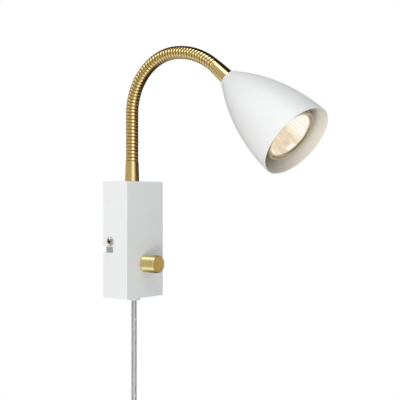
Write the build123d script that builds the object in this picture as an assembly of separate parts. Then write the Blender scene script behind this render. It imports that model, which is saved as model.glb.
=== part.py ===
from build123d import *
from math import cos, degrees, hypot, pi, radians, sin, sqrt, tan
import os

# An adjustable wall light: a wall box with a dimmer, a ribbed neck and a shade with its bulb.
# Sizes are in millimetres. The wall is the plane Y = 0, the light stands out along -Y,
# Z is up, and the origin is the middle of the box's back.

# Wall box
box_width = 51.0
box_height = 110.8
box_depth = 31.2
box_wall = 1.2
box_edge_radius = 0.8

# Bracket on the wall, with a flange at each side that the box is screwed to
bracket_thickness = 1.5
bracket_clearance = 0.3
flange_reach = 17.0
flange_margin = 4.0
wall_hole_radius = 2.25
wall_hole_spacing = 80.0

# Screw and open notch at each side of the box, placed from the wall and from mid height
cover_screw_out = 10.2
cover_screw_level = -1.7
cover_screw_radius = 2.0
cover_screw_length = 7.0
cover_screw_head_radius = 4.3
cover_screw_head_height = 2.4
cross_length = 4.6
cross_width = 1.1
cross_depth = 1.3
notch_reach = 13.1
notch_level = -9.4
notch_height = 5.6
flange_gap = 2.8
relief_inset = 4.0

# Clearances between pieces
hole_clearance = 0.25
thread_clearance = 0.05
running_clearance = 0.05
seat_clearance = 0.1
turning_clearance = 0.3

# Neck: its line rises from the box, bends in two arcs and points the shade down
neck_out = 13.8
neck_rise = 65.42
first_bend_radius = 53.5
second_bend_radius = 76.7
head_pitch = 39.6

# Ribbed hose, in links that turn in each other on hollow balls
link_count = 8
ribs_per_link = 6
hose_crest_radius = 6.0
rib_depth = 0.5
rib_shape = ((0.0, 0.0), (0.2, 0.8), (0.5, 1.0), (0.8, 0.8))
neck_bore_radius = 2.3
joint_range = 20.0
socket_wall = 0.44
ball_clearance = 0.06
ball_tail = 1.5
socket_lip = 0.6
joint_gap = 0.12
lead_radius = 1.5
lead_gap = 0.6
lead_overhang = 3.0
lead_slack = 3.0

# Ferrules at the ends of the neck, with the nuts on their stems
ferrule_length = 19.8
ferrule_wide_radius = 6.9
ferrule_lip = 0.2
stem_radius = 5.0
stem_spare = 2.0
stem_nut_across = 12.0
stem_nut_height = 4.0
neck_washer_radius = 9.0
neck_washer_thickness = 1.0

# Shade, along its axis from its crown to its rim
shade_length = 90.9
shade_wall = 1.0
crown_flat_radius = 8.0
shoulder_radius = 10.0
shoulder_depth = 2.2
belly_radius = 26.9
belly_depth = 41.1
mouth_radius = 34.5
shade_washer_thickness = 0.8

# Reflector bulb with a twist-lock base
bulb_setback = 6.5
bulb_body_length = 46.5
bulb_radius = 25.0
bulb_band = 4.6
bulb_waist_radius = 20.4
bulb_waist_depth = 17.0
bulb_neck_radius = 10.5
bulb_glass = 1.5
lens_radius = 22.2
lens_recess = 2.0
lens_thickness = 2.4
lens_seat = 1.0
base_radius = 11.0
base_length = 12.0
burner_radius = 4.5
burner_length = 20.0
pin_spacing = 10.0
pin_neck_radius = 1.6
pin_neck_length = 3.6
pin_head_radius = 2.5
pin_head_length = 3.9
bulb_twist = 45.0

# Bulb holder and the strap that carries it
holder_gap = 0.5
holder_radius = 13.0
holder_length = 15.5
holder_lip = 2.4
slot_clearance = 0.35
contact_radius = 2.2
contact_thickness = 1.5
strap_thickness = 1.2
strap_width = 9.0
strap_clearance = 1.0
foot_reach = 5.4
holder_screw_radius = 1.5
holder_screw_depth = 3.0
holder_screw_head_radius = 2.2
holder_screw_head_height = 1.6
core_radius = 0.7
core_offset = 0.8
core_run = 1.6

# Dimmer on the front of the box, and its knob
knob_level = -23.0
knob_radius = 8.3
knob_length = 16.6
knob_gap = 0.6
knob_edge = 0.35
knob_clearance = 0.4
knob_face = 3.0
grub_radius = 1.5
grub_length = 5.0
grub_inset = 0.4
grub_place = 10.0
dimmer_body_size = 17.0
dimmer_body_depth = 8.0
dimmer_back_wall = 1.0
bush_radius = 4.75
bush_spare = 1.0
shaft_radius = 3.0
shaft_end_play = 0.3
dimmer_washer_radius = 6.8
dimmer_washer_thickness = 0.6
dimmer_nut_height = 2.5

# Circuit board behind the dimmer, with three parts on its back
board_width = 36.0
board_thickness = 1.6
board_clearance = 1.8
board_rise = 24.0
part_column = 11.5
low_part_row = -10.0
high_part_row = 12.0
lead_column = 3.4
low_pad_row = -15.0
high_pad_row = 18.0
choke_ring_radius = 5.0
choke_wire_radius = 2.6
capacitor_size = (12.0, 9.0, 11.0)
triac_width = 10.0
triac_depth = 4.5
triac_height = 9.0
triac_tab_thickness = 1.3
triac_tab_height = 6.0
triac_hole_radius = 1.7

# Terminal block on the bracket, placed from the top of the box
terminal_width = 24.0
terminal_depth = 12.0
terminal_height = 17.0
terminal_drop = 33.0
terminal_pitch = 12.0
terminal_row = 4.5
terminal_wire_radius = 1.6
terminal_screw_radius = 1.7
terminal_screw_inset = 1.0
terminal_wire_depth = 6.0

# Cord bushing under the box
bushing_out = 16.4
bushing_flange_radius = 6.2
bushing_flange_height = 3.4
bushing_taper = 0.3
bushing_radius = 4.5
bushing_nut_height = 4.0
bushing_spare = 1.0

# Cord: its route from inside the box down to the coil, by hand
cord_radius = 2.7
cord_route = [(0, -bushing_out, -46), (0, -bushing_out, -187), (-37.5, -5.1, -232), (-37.5, -5.1, -262)]
turn_gap = 1.4
coil_middle_radius = 32.4
corner_share = 0.45
gap_samples = 24
half_turns_in_layers = (3, 3, 3, 4)
plug_drop = 24.0
tie_width = 6.0
tie_wall = 1.0

# Flat two-pin plug
relief_length = 20.0
relief_radius = 3.6
plug_length = 34.0
plug_width = 35.3
plug_neck_width = 15.0
plug_thickness = 13.7
plug_face_length = 12.0
plug_edge_radius = 2.5
plug_pin_spacing = 18.6
plug_pin_radius = 2.0
plug_pin_length = 19.0

# Sizes that follow
hose_root_radius = hose_crest_radius - rib_depth
ferrule_narrow_radius = hose_crest_radius + ferrule_lip
socket_radius = hose_root_radius - socket_wall
ball_radius = socket_radius - ball_clearance
swing = radians(joint_range)
shell_start = (socket_lip + joint_gap + hose_root_radius * sin(swing)) / cos(swing)
nut_reach = stem_nut_across / sqrt(3)
shade_washer_radius = crown_flat_radius - shade_wall - seat_clearance

second_bend_start = neck_rise + pi / 2 * first_bend_radius
neck_length = second_bend_start + radians(head_pitch) * second_bend_radius
first_joint = ferrule_length - socket_lip
joint_step = (neck_length - shell_start - first_joint) / link_count

# Places along the head's axis, from the start of the upper ferrule
shade_inside = ferrule_length + shade_wall
shade_nut_low = shade_inside + shade_washer_thickness
strap_low = shade_nut_low + stem_nut_height
strap_nut_low = strap_low + strap_thickness
head_stem_end = strap_nut_low + stem_nut_height + stem_spare
head_lead_end = head_stem_end + stem_spare
shade_rim = ferrule_length + shade_length
bulb_front = shade_rim - bulb_setback
bulb_back = bulb_front - bulb_body_length
base_front = bulb_back + base_length
lens_front = bulb_front - lens_recess
lens_back = lens_front - lens_thickness
pin_shoulder = bulb_back - pin_neck_length
pin_end = pin_shoulder - pin_head_length
holder_front = bulb_back - holder_gap
holder_back = holder_front - holder_length
contact_front = pin_end - turning_clearance
contact_back = contact_front - contact_thickness
strap_reach = nut_reach + strap_clearance + strap_thickness
holder_screw_offset = strap_reach - strap_thickness - holder_screw_head_radius - turning_clearance

# Places along the knob's axis, from the front of the box
dimmer_nut_low = dimmer_washer_thickness
bush_end = dimmer_nut_low + dimmer_nut_height + bush_spare
dimmer_back = -box_wall - dimmer_body_depth
shaft_back = dimmer_back + dimmer_back_wall
knob_end = knob_gap + knob_length
shaft_front = knob_end - knob_face

board_front = -box_depth - dimmer_back
board_back = board_front + board_thickness
terminal_level = box_height / 2 - terminal_drop
terminal_front = -bracket_thickness - terminal_depth
terminal_wire_out = -bracket_thickness - terminal_wire_depth
box_stem_end = -box_wall - neck_washer_thickness - stem_nut_height - stem_spare
bushing_top = -box_wall - bushing_nut_height - bushing_spare
board_low = -box_height / 2 - bushing_top + board_clearance
board_high = knob_level + board_rise


# Plain solids about the local Z axis, from one height to another

def disc(radius, low, high):
    return Pos(0, 0, (low + high) / 2) * Cylinder(radius, high - low)


def ring(outer, inner, low, high):
    return disc(outer, low, high) - disc(inner, low, high)


def cone(low_radius, high_radius, low, high):
    return Pos(0, 0, (low + high) / 2) * Cone(low_radius, high_radius, high - low)


def hex_nut(across, bore, low, high):
    outline = RegularPolygon(across / 2, 6, major_radius=False)
    return Pos(0, 0, low) * extrude(outline, high - low) - disc(bore, low, high)


def turned(outline):
    return revolve(Plane.XZ * make_face(outline), Axis.Z)


def block(low, high):
    size = Vector(*high) - Vector(*low)
    return Pos((Vector(*low) + Vector(*high)) / 2) * Box(size.X, size.Y, size.Z)


def tube(radius, path):
    start = Plane(path @ 0, z_dir=path % 0)
    return sweep(start * Circle(radius), path=path)


# Corners of a route are as round as their shorter run allows

def corner_radius(before, corner, after):
    arriving = Vector(*corner) - Vector(*before)
    leaving = Vector(*after) - Vector(*corner)
    half_turn = radians(arriving.get_angle(leaving)) / 2
    return corner_share * min(arriving.length, leaving.length) / tan(half_turn)


def rounded_route(points):
    radii = [corner_radius(*points[i - 1:i + 2]) for i in range(1, len(points) - 1)]
    return FilletPolyline(*points, radius=radii), radii


# Line of the neck, measured from the top of the box

def on_bend(centre, radius, pitch):
    return centre + Vector(0, radius * sin(radians(pitch)), radius * cos(radians(pitch)))


neck_foot = Vector(0, -neck_out, box_height / 2)
first_centre = neck_foot + Vector(0, -first_bend_radius, neck_rise)
second_centre = first_centre + Vector(0, 0, first_bend_radius - second_bend_radius)


def neck_pitch(along):
    if along <= neck_rise:
        return 90
    if along <= second_bend_start:
        return 90 - degrees((along - neck_rise) / first_bend_radius)
    if along <= neck_length:
        return -degrees((along - second_bend_start) / second_bend_radius)
    return -head_pitch


def neck_direction(along):
    climb = radians(neck_pitch(along))
    return Vector(0, -cos(climb), sin(climb))


def neck_point(along):
    if along <= neck_rise:
        return neck_foot + Vector(0, 0, along)
    if along <= second_bend_start:
        return on_bend(first_centre, first_bend_radius, neck_pitch(along))
    bend_end = on_bend(second_centre, second_bend_radius, neck_pitch(along))
    return bend_end + neck_direction(along) * max(along - neck_length, 0)


def neck_plane(along):
    return Plane(neck_point(along), x_dir=(1, 0, 0), z_dir=neck_direction(along))


def neck_tube(radius, start, end):
    marks = [m for m in (neck_rise, second_bend_start, neck_length) if start < m < end]
    edges = []
    for low, high in zip([start, *marks], [*marks, end]):
        middle = (low + high) / 2
        points = [neck_point(x) for x in (low, middle, high)]
        straight = neck_pitch(middle) == neck_pitch(high)
        edges.append(Line(points[0], points[2]) if straight else ThreePointArc(*points))
    return sweep(neck_plane(start) * Circle(radius), path=Wire(edges))


def joint_place(number):
    return first_joint + number * joint_step


# Frames of the sub-assemblies
top_frame = neck_plane(0)
head_frame = neck_plane(neck_length)
front_frame = Plane((0, -box_depth, knob_level), x_dir=(1, 0, 0), z_dir=(0, -1, 0))
bushing_frame = Plane((0, -bushing_out, -box_height / 2), x_dir=(1, 0, 0), z_dir=(0, 0, -1))
side_frames = [
    Plane((side * box_width / 2, -cover_screw_out, cover_screw_level), x_dir=(0, 1, 0), z_dir=(side, 0, 0))
    for side in (-1, 1)
]


# Wall box and bracket

def notch(inner, outer, reach):
    low, high = notch_level - notch_height / 2, notch_level + notch_height / 2
    return [
        block((min(side * inner, side * outer), -reach, low), (max(side * inner, side * outer), box_wall, high))
        for side in (-1, 1)
    ]


def cover_box():
    shell = block((-box_width / 2, -box_depth, -box_height / 2), (box_width / 2, 0, box_height / 2))
    back_edges = shell.faces().sort_by(Axis.Y)[-1].edges()
    front_edges = [e for e in shell.edges() if e not in back_edges]
    shell = fillet(front_edges, box_edge_radius)
    inside = (box_width / 2 - box_wall, box_height / 2 - box_wall)
    shell -= block((-inside[0], box_wall - box_depth, -inside[1]), (inside[0], 0, inside[1]))
    shell -= top_frame * disc(stem_radius + hole_clearance, -2 * box_wall, box_wall)
    shell -= front_frame * disc(bush_radius + hole_clearance, -2 * box_wall, box_wall)
    shell -= bushing_frame * disc(bushing_radius + hole_clearance, -2 * box_wall, box_wall)
    for frame in side_frames:
        shell -= frame * disc(cover_screw_radius + hole_clearance, -2 * box_wall, box_wall)
    return shell - notch(box_width / 2 - 2 * box_wall, box_width / 2 + box_wall, notch_reach)


def wall_bracket():
    half_width = box_width / 2 - box_wall - bracket_clearance
    half_height = box_height / 2 - box_wall - bracket_clearance
    plate = block((-half_width, -bracket_thickness, -half_height), (half_width, 0, half_height))
    flange_low = notch_level - notch_height / 2 - flange_margin
    flange_high = cover_screw_level + cover_screw_head_radius + flange_margin
    for side in (-1, 1):
        edge = sorted((side * half_width, side * (half_width - bracket_thickness)))
        plate += block((edge[0], -flange_reach, flange_low), (edge[1], 0, flange_high))
        hole = Plane((0, 0, side * wall_hole_spacing / 2), z_dir=(0, -1, 0))
        plate -= hole * disc(wall_hole_radius, -bracket_thickness, 2 * bracket_thickness)
    for frame in side_frames:
        plate -= frame * disc(cover_screw_radius + thread_clearance, -cover_screw_length, 0)
    return plate - notch(half_width - relief_inset, half_width + bracket_clearance, flange_gap)


def cover_screws():
    head = disc(cover_screw_head_radius, 0, cover_screw_head_height)
    head = fillet(head.edges().sort_by(Axis.Z)[-1], cover_screw_head_height / 2)
    cross_floor = cover_screw_head_height - cross_depth
    for long, wide in ((cross_length, cross_width), (cross_width, cross_length)):
        head -= block(
            (-long / 2, -wide / 2, cross_floor),
            (long / 2, wide / 2, cover_screw_head_height + cross_depth),
        )
    screw = head + disc(cover_screw_radius, -cover_screw_length, 0)
    return [frame * screw for frame in side_frames]


# Neck and its ferrules

def lower_ferrule():
    body = cone(ferrule_wide_radius, ferrule_narrow_radius, 0, ferrule_length)
    body += disc(stem_radius, box_stem_end, 0)
    body -= disc(neck_bore_radius, box_stem_end, ferrule_length)
    body -= Pos(0, 0, first_joint) * Sphere(socket_radius)
    return top_frame * body


def neck_washer():
    low = -box_wall - neck_washer_thickness
    return top_frame * ring(neck_washer_radius, stem_radius + hole_clearance, low, -box_wall)


def neck_nut():
    high = -box_wall - neck_washer_thickness
    return top_frame * hex_nut(stem_nut_across, stem_radius + thread_clearance, high - stem_nut_height, high)


def hose_shell(start, end):
    pitch = (end - start) / ribs_per_link
    rings = [
        (start + (rib + share) * pitch, hose_root_radius + height * rib_depth)
        for rib in range(ribs_per_link)
        for share, height in rib_shape
    ]
    rings.append((end, hose_root_radius))
    return loft([neck_plane(along) * Circle(radius) for along, radius in rings], ruled=True)


def link_ball(number):
    tail = disc(ball_radius, -ball_radius, -ball_tail)
    return neck_plane(joint_place(number)) * (Sphere(ball_radius) - tail)


def neck_link(number):
    low, high = joint_place(number - 1), joint_place(number)
    link = hose_shell(low + shell_start, high + socket_lip) + link_ball(number - 1)
    link -= neck_plane(high) * Sphere(socket_radius)
    return link - neck_tube(neck_bore_radius, low - ball_radius, high + socket_lip)


def neck_lead(number):
    low = joint_place(number - 1) + lead_gap if number > 0 else box_stem_end - lead_overhang
    return neck_tube(lead_radius, low, joint_place(number) - lead_gap)


def upper_ferrule():
    body = cone(ferrule_narrow_radius, ferrule_wide_radius, 0, ferrule_length)
    body += disc(stem_radius, ferrule_length, head_stem_end)
    body = head_frame * body + link_ball(link_count)
    bore_start = joint_place(link_count) - ball_radius
    return body - neck_tube(neck_bore_radius, bore_start, neck_length + head_stem_end)


# Shade and what holds it

def shade_form(inset):
    crown = (crown_flat_radius - inset, ferrule_length + inset)
    shoulder = (shoulder_radius - inset, ferrule_length + shoulder_depth)
    belly = (belly_radius - inset, ferrule_length + belly_depth)
    mouth = (mouth_radius - inset, shade_rim)
    outline = [
        Line((0, crown[1]), crown),
        TangentArc(crown, shoulder, tangent=(1, 0)),
        ThreePointArc(shoulder, belly, mouth),
        Line(mouth, (0, shade_rim)),
        Line((0, shade_rim), (0, crown[1])),
    ]
    return turned(outline)


def shade():
    hole = disc(stem_radius + hole_clearance, ferrule_length - shade_wall, shade_inside + shade_wall)
    return head_frame * (shade_form(0) - shade_form(shade_wall) - hole)


def shade_washer():
    return head_frame * ring(shade_washer_radius, stem_radius + hole_clearance, shade_inside, shade_nut_low)


def stem_nut(low):
    return head_frame * hex_nut(stem_nut_across, stem_radius + thread_clearance, low, low + stem_nut_height)


def holder_strap():
    half = strap_width / 2
    strap = block((-strap_reach, -half, strap_low), (strap_reach, half, strap_nut_low))
    strap += disc(strap_reach, strap_low, strap_nut_low)
    for side in (-1, 1):
        leg = sorted((side * strap_reach, side * (strap_reach - strap_thickness)))
        foot = sorted((side * strap_reach, side * (strap_reach - foot_reach)))
        strap += block((leg[0], -half, strap_low), (leg[1], half, holder_back))
        strap += block((foot[0], -half, holder_back - strap_thickness), (foot[1], half, holder_back))
        hole = disc(holder_screw_radius + hole_clearance, holder_back - 2 * strap_thickness, holder_back)
        strap -= Pos(side * holder_screw_offset, 0, 0) * hole
    return head_frame * (strap - disc(stem_radius + hole_clearance, strap_low, strap_nut_low))


# Bulb holder: each pin enters by a round hole, turns along a slot and is caught behind its lip

def pin_track(radius, low, high):
    middle = CenterArc((0, 0), pin_spacing / 2, 90, bulb_twist)
    track = Pos(0, 0, low) * extrude(SlotArc(middle, 2 * radius), high - low)
    return track + Rot(0, 0, 180) * track


def pin_places(turn):
    return [Rot(0, 0, angle + turn) * Pos(pin_spacing / 2, 0, 0) for angle in (90, 270)]


def bulb_holder():
    lip_back = holder_front - holder_lip
    body = disc(holder_radius, holder_back, holder_front)
    body -= pin_track(pin_head_radius + slot_clearance, contact_back, lip_back)
    body -= pin_track(pin_neck_radius + slot_clearance, lip_back, holder_front)
    for place in pin_places(bulb_twist):
        body -= place * disc(pin_head_radius + slot_clearance, lip_back, holder_front)
    for place in pin_places(0):
        body -= place * disc(core_radius + hole_clearance, holder_back, contact_back)
    for side in (-1, 1):
        thread = disc(holder_screw_radius + thread_clearance, holder_back, holder_back + holder_screw_depth)
        body -= Pos(side * holder_screw_offset, 0, 0) * thread
    return head_frame * body


def holder_contacts():
    return [head_frame * place * disc(contact_radius, contact_back, contact_front) for place in pin_places(0)]


def holder_screws():
    head_front = holder_back - strap_thickness
    screw = disc(holder_screw_head_radius, head_front - holder_screw_head_height, head_front)
    screw += disc(holder_screw_radius, head_front, holder_back + holder_screw_depth - turning_clearance)
    return [head_frame * Pos(side * holder_screw_offset, 0, 0) * screw for side in (-1, 1)]


def head_leads():
    cores = []
    for side in (-1, 1):
        route = [
            (0, side * core_offset, head_lead_end),
            (0, side * core_offset, head_lead_end + core_run),
            (0, side * pin_spacing / 2, holder_back - core_run),
            (0, side * pin_spacing / 2, contact_back),
        ]
        cores.append(head_frame * tube(core_radius, rounded_route(route)[0]))
    return cores


# Bulb

def bulb_reflector():
    back = base_front
    waist = bulb_front - bulb_waist_depth
    outside = turned([
        Line((0, bulb_front), (bulb_radius, bulb_front)),
        Line((bulb_radius, bulb_front), (bulb_radius, bulb_front - bulb_band)),
        ThreePointArc((bulb_radius, bulb_front - bulb_band), (bulb_waist_radius, waist), (bulb_neck_radius, back)),
        Line((bulb_neck_radius, back), (0, back)),
        Line((0, back), (0, bulb_front)),
    ])
    hollow_rim = lens_radius - lens_seat
    hollow_neck = bulb_neck_radius - bulb_glass
    hollow = turned([
        Line((0, lens_back), (hollow_rim, lens_back)),
        ThreePointArc((hollow_rim, lens_back), (bulb_waist_radius - bulb_glass, waist), (hollow_neck, back)),
        Line((hollow_neck, back), (0, back)),
        Line((0, back), (0, lens_back)),
    ])
    seat = disc(lens_radius + seat_clearance, lens_back, bulb_front)
    return head_frame * (outside - hollow - seat)


def bulb_lens():
    return head_frame * disc(lens_radius, lens_back, lens_front)


def bulb_burner():
    capsule = disc(burner_radius, base_front, base_front + burner_length)
    return head_frame * fillet(capsule.edges().sort_by(Axis.Z)[-1], burner_radius / 2)


def bulb_base():
    return head_frame * disc(base_radius, bulb_back, base_front)


def bulb_pins():
    pin = disc(pin_neck_radius, pin_shoulder, bulb_back) + disc(pin_head_radius, pin_end, pin_shoulder)
    return [head_frame * place * pin for place in pin_places(0)]


# Dimmer and knob

def dimmer_body():
    half = dimmer_body_size / 2
    body = block((-half, -half, dimmer_back), (half, half, -box_wall))
    body += disc(bush_radius, -box_wall, bush_end)
    return front_frame * (body - disc(shaft_radius + running_clearance, shaft_back, bush_end))


def dimmer_shaft():
    return front_frame * disc(shaft_radius, shaft_back + shaft_end_play, shaft_front)


def dimmer_washer():
    return front_frame * ring(dimmer_washer_radius, bush_radius + hole_clearance, 0, dimmer_washer_thickness)


def dimmer_nut():
    high = dimmer_nut_low + dimmer_nut_height
    return front_frame * hex_nut(stem_nut_across, bush_radius + thread_clearance, dimmer_nut_low, high)


def grub_line(radius, inner, outer):
    return Plane((0, 0, knob_gap + grub_place), z_dir=(0, -1, 0)) * disc(radius, inner, outer)


def knob():
    body = disc(knob_radius, knob_gap, knob_end)
    body = chamfer(body.edges().sort_by(Axis.Z)[-1], knob_edge)
    nut_room = dimmer_nut_low + dimmer_nut_height + knob_clearance
    body -= disc(nut_reach + knob_clearance, knob_gap, nut_room)
    body -= disc(bush_radius + knob_clearance, knob_gap, bush_end + knob_clearance)
    body -= disc(shaft_radius + thread_clearance, knob_gap, shaft_front)
    return front_frame * (body - grub_line(grub_radius + thread_clearance, 0, knob_radius))


def knob_grub_screw():
    outer = min(shaft_radius + thread_clearance + grub_length, knob_radius - grub_inset)
    return front_frame * grub_line(grub_radius, shaft_radius + thread_clearance, outer)


# Circuit board and the parts on its back

def dimmer_board():
    return block((-board_width / 2, board_front, board_low), (board_width / 2, board_back, board_high))


def dimmer_choke():
    level = knob_level + low_part_row
    middle = Plane((-part_column, board_back + choke_wire_radius, level), z_dir=(0, 1, 0))
    return middle * Torus(choke_ring_radius, choke_wire_radius)


def dimmer_capacitor():
    level = knob_level + low_part_row
    wide, deep, tall = capacitor_size
    return block(
        (part_column - wide / 2, board_back, level - tall / 2),
        (part_column + wide / 2, board_back + deep, level + tall / 2),
    )


def dimmer_triac():
    level = knob_level + high_part_row
    low, high = part_column - triac_width / 2, part_column + triac_width / 2
    body = block((low, board_back, level - triac_height), (high, board_back + triac_depth, level))
    body += block((low, board_back, level), (high, board_back + triac_tab_thickness, level + triac_tab_height))
    eye = Plane((part_column, board_back, level + triac_tab_height / 2), z_dir=(0, 1, 0))
    return body - eye * disc(triac_hole_radius, 0, triac_tab_thickness)


# Terminal block, its screws and the cores of the leads in the box

def terminal_columns():
    return (-terminal_pitch / 2, terminal_pitch / 2)


def terminal_block():
    low, high = terminal_level - terminal_height / 2, terminal_level + terminal_height / 2
    body = block((-terminal_width / 2, terminal_front, low), (terminal_width / 2, -bracket_thickness, high))
    for column in terminal_columns():
        body -= Pos(column, terminal_wire_out, 0) * disc(terminal_wire_radius, low, high)
        for row in (-terminal_row, terminal_row):
            hole = Plane((column, terminal_front, terminal_level + row), z_dir=(0, 1, 0))
            body -= hole * disc(terminal_screw_radius + thread_clearance, 0, terminal_wire_out - terminal_front)
    return body


def terminal_screws():
    tip = terminal_wire_out - terminal_front - core_radius - turning_clearance
    return [
        Plane((column, terminal_front, terminal_level + row), z_dir=(0, 1, 0))
        * disc(terminal_screw_radius, terminal_screw_inset, tip)
        for column in terminal_columns()
        for row in (-terminal_row, terminal_row)
    ]


def box_leads():
    left, right = terminal_columns()
    cord_line, cord_top = -bushing_out, cord_route[0][2]
    cord_core = cord_radius / 2
    terminal_low, terminal_high = terminal_level - terminal_height / 2, terminal_level + terminal_height / 2
    low_end, high_end = terminal_level - turning_clearance, terminal_level + turning_clearance
    neck_end = box_height / 2 + box_stem_end - lead_overhang
    low_pad, high_pad = knob_level + low_pad_row, knob_level + high_pad_row
    routes = [
        [
            (-cord_core, cord_line, cord_top),
            (-cord_core, cord_line, terminal_low - 4 * lead_slack),
            (left, terminal_wire_out, terminal_low - lead_slack),
            (left, terminal_wire_out, low_end),
        ],
        [
            (cord_core, cord_line, cord_top),
            (cord_core, cord_line, low_pad - 2 * lead_slack),
            (lead_column, cord_line, low_pad),
            (lead_column, board_back, low_pad),
        ],
        [
            (lead_column, board_back, high_pad),
            (lead_column, cord_line, high_pad),
            (right, terminal_wire_out, terminal_low - lead_slack),
            (right, terminal_wire_out, low_end),
        ],
    ]
    for side in (-1, 1):
        routes.append([
            (side * terminal_pitch / 2, terminal_wire_out, high_end),
            (side * terminal_pitch / 2, terminal_wire_out, terminal_high + lead_slack),
            (side * core_offset, -neck_out, neck_end - lead_slack),
            (side * core_offset, -neck_out, neck_end),
        ])
    return [tube(core_radius, rounded_route(route)[0]) for route in routes]


# Cord bushing

def cord_bushing():
    narrow = bushing_flange_radius - bushing_taper
    body = cone(bushing_flange_radius, narrow, 0, bushing_flange_height)
    body += disc(bushing_radius, bushing_top, 0)
    return bushing_frame * (body - disc(cord_radius + thread_clearance, bushing_top, bushing_flange_height))


def bushing_nut():
    low = -box_wall - bushing_nut_height
    return bushing_frame * hex_nut(stem_nut_across, bushing_radius + thread_clearance, low, -box_wall)


# Cord, coil, tie and plug

def mains_cord():
    path, radii = rounded_route(cord_route)
    solid = tube(cord_radius, path)
    share = solid.volume / (pi * cord_radius**2 * path.length)
    print("cord corner radii", [round(r, 1) for r in radii], "length", round(path.length, 1))
    print("cord volume over section times length", round(share, 4))
    return solid


def coil_stations():
    # Where the coil crosses its own level: on its left and right in turn, winding in and out by layers
    step = 2 * cord_radius + turn_gap
    radius = coil_middle_radius + max(half_turns_in_layers[:-1]) * step / 4
    centre = Vector(*cord_route[-1]) + Vector(radius, 0, -2 * cord_radius)
    radii, layers = [radius], [0]
    for layer, count in enumerate(half_turns_in_layers):
        if layer:
            radii.append(radii[-1])
            layers.append(layer)
        for _ in range(count):
            radii.append(radii[-1] + (step if layer % 2 else -step) / 2)
            layers.append(layer)
    return [
        centre + Vector(r if n % 2 else -r, -step * layer, 0)
        for n, (r, layer) in enumerate(zip(radii, layers))
    ]


def coil_path():
    stations = coil_stations()
    down = Vector(0, 0, -1)
    edges = [Line(Vector(*cord_route[-1]), stations[0])]
    for n, (here, there) in enumerate(zip(stations, stations[1:])):
        heading = down if n % 2 == 0 else -down
        across = there - here
        middle = (here + there) / 2 + heading * (across.length / 2)
        edges.append(TangentArc(here, middle, tangent=heading))
        edges.append(TangentArc(middle, there, tangent=across))
    edges.append(Line(stations[-1], stations[-1] + down * plug_drop))
    return edges


def self_gap(edges):
    near = 6 * cord_radius
    points, along, travelled = [], [], 0
    for edge in edges:
        for n in range(gap_samples):
            points.append(edge @ (n / gap_samples))
            along.append(travelled + edge.length * n / gap_samples)
        travelled += edge.length
    rows = [(p.X, p.Y, p.Z, s) for p, s in zip(points, along)]
    gaps = [
        hypot(a[0] - b[0], a[1] - b[1], a[2] - b[2])
        for i, a in enumerate(rows)
        for b in rows[:i]
        if a[3] - b[3] > near
    ]
    return min(gaps) - 2 * cord_radius


def cord_coil():
    edges = coil_path()
    path = Wire(edges)
    solid = tube(cord_radius, path)
    share = solid.volume / (pi * cord_radius**2 * path.length)
    print("coil length", round(path.length, 1), "least gap to itself", round(self_gap(edges), 2))
    print("coil volume over section times length", round(share, 4))
    return solid


def coil_tie():
    left = coil_stations()[::2]
    room = cord_radius + turning_clearance
    low = Vector(min(p.X for p in left) - room, min(p.Y for p in left) - room, left[0].Z - tie_width / 2)
    high = Vector(max(p.X for p in left) + room, max(p.Y for p in left) + room, left[0].Z + tie_width / 2)
    wall = Vector(tie_wall, tie_wall, 0)
    return block(low - wall, high + wall) - block(low, high)


def plug_frame():
    end = coil_stations()[-1] - Vector(0, 0, plug_drop)
    return Plane(end, x_dir=(0, 1, 0), z_dir=(0, 0, -1))


def plug_body():
    half_neck, half_width = plug_neck_width / 2, plug_width / 2
    end = relief_length + plug_length
    waist = end - plug_face_length
    outline = Polyline(
        (-half_neck, relief_length), (-half_width, waist), (-half_width, end),
        (half_width, end), (half_width, waist), (half_neck, relief_length), close=True,
    )
    body = extrude(Plane.XZ * make_face(outline), plug_thickness / 2, both=True)
    corners = body.edges().filter_by(Axis.Y)
    body = fillet(corners, plug_edge_radius)
    relief = cone(relief_radius, plug_thickness / 2, 0, relief_length)
    return plug_frame() * (body + relief)


def plug_pins():
    face = relief_length + plug_length
    pin = disc(plug_pin_radius, face, face + plug_pin_length)
    pin = fillet(pin.edges().sort_by(Axis.Z)[-1], plug_pin_radius / 2)
    return [plug_frame() * Pos(side * plug_pin_spacing / 2, 0, 0) * pin for side in (-1, 1)]


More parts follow.
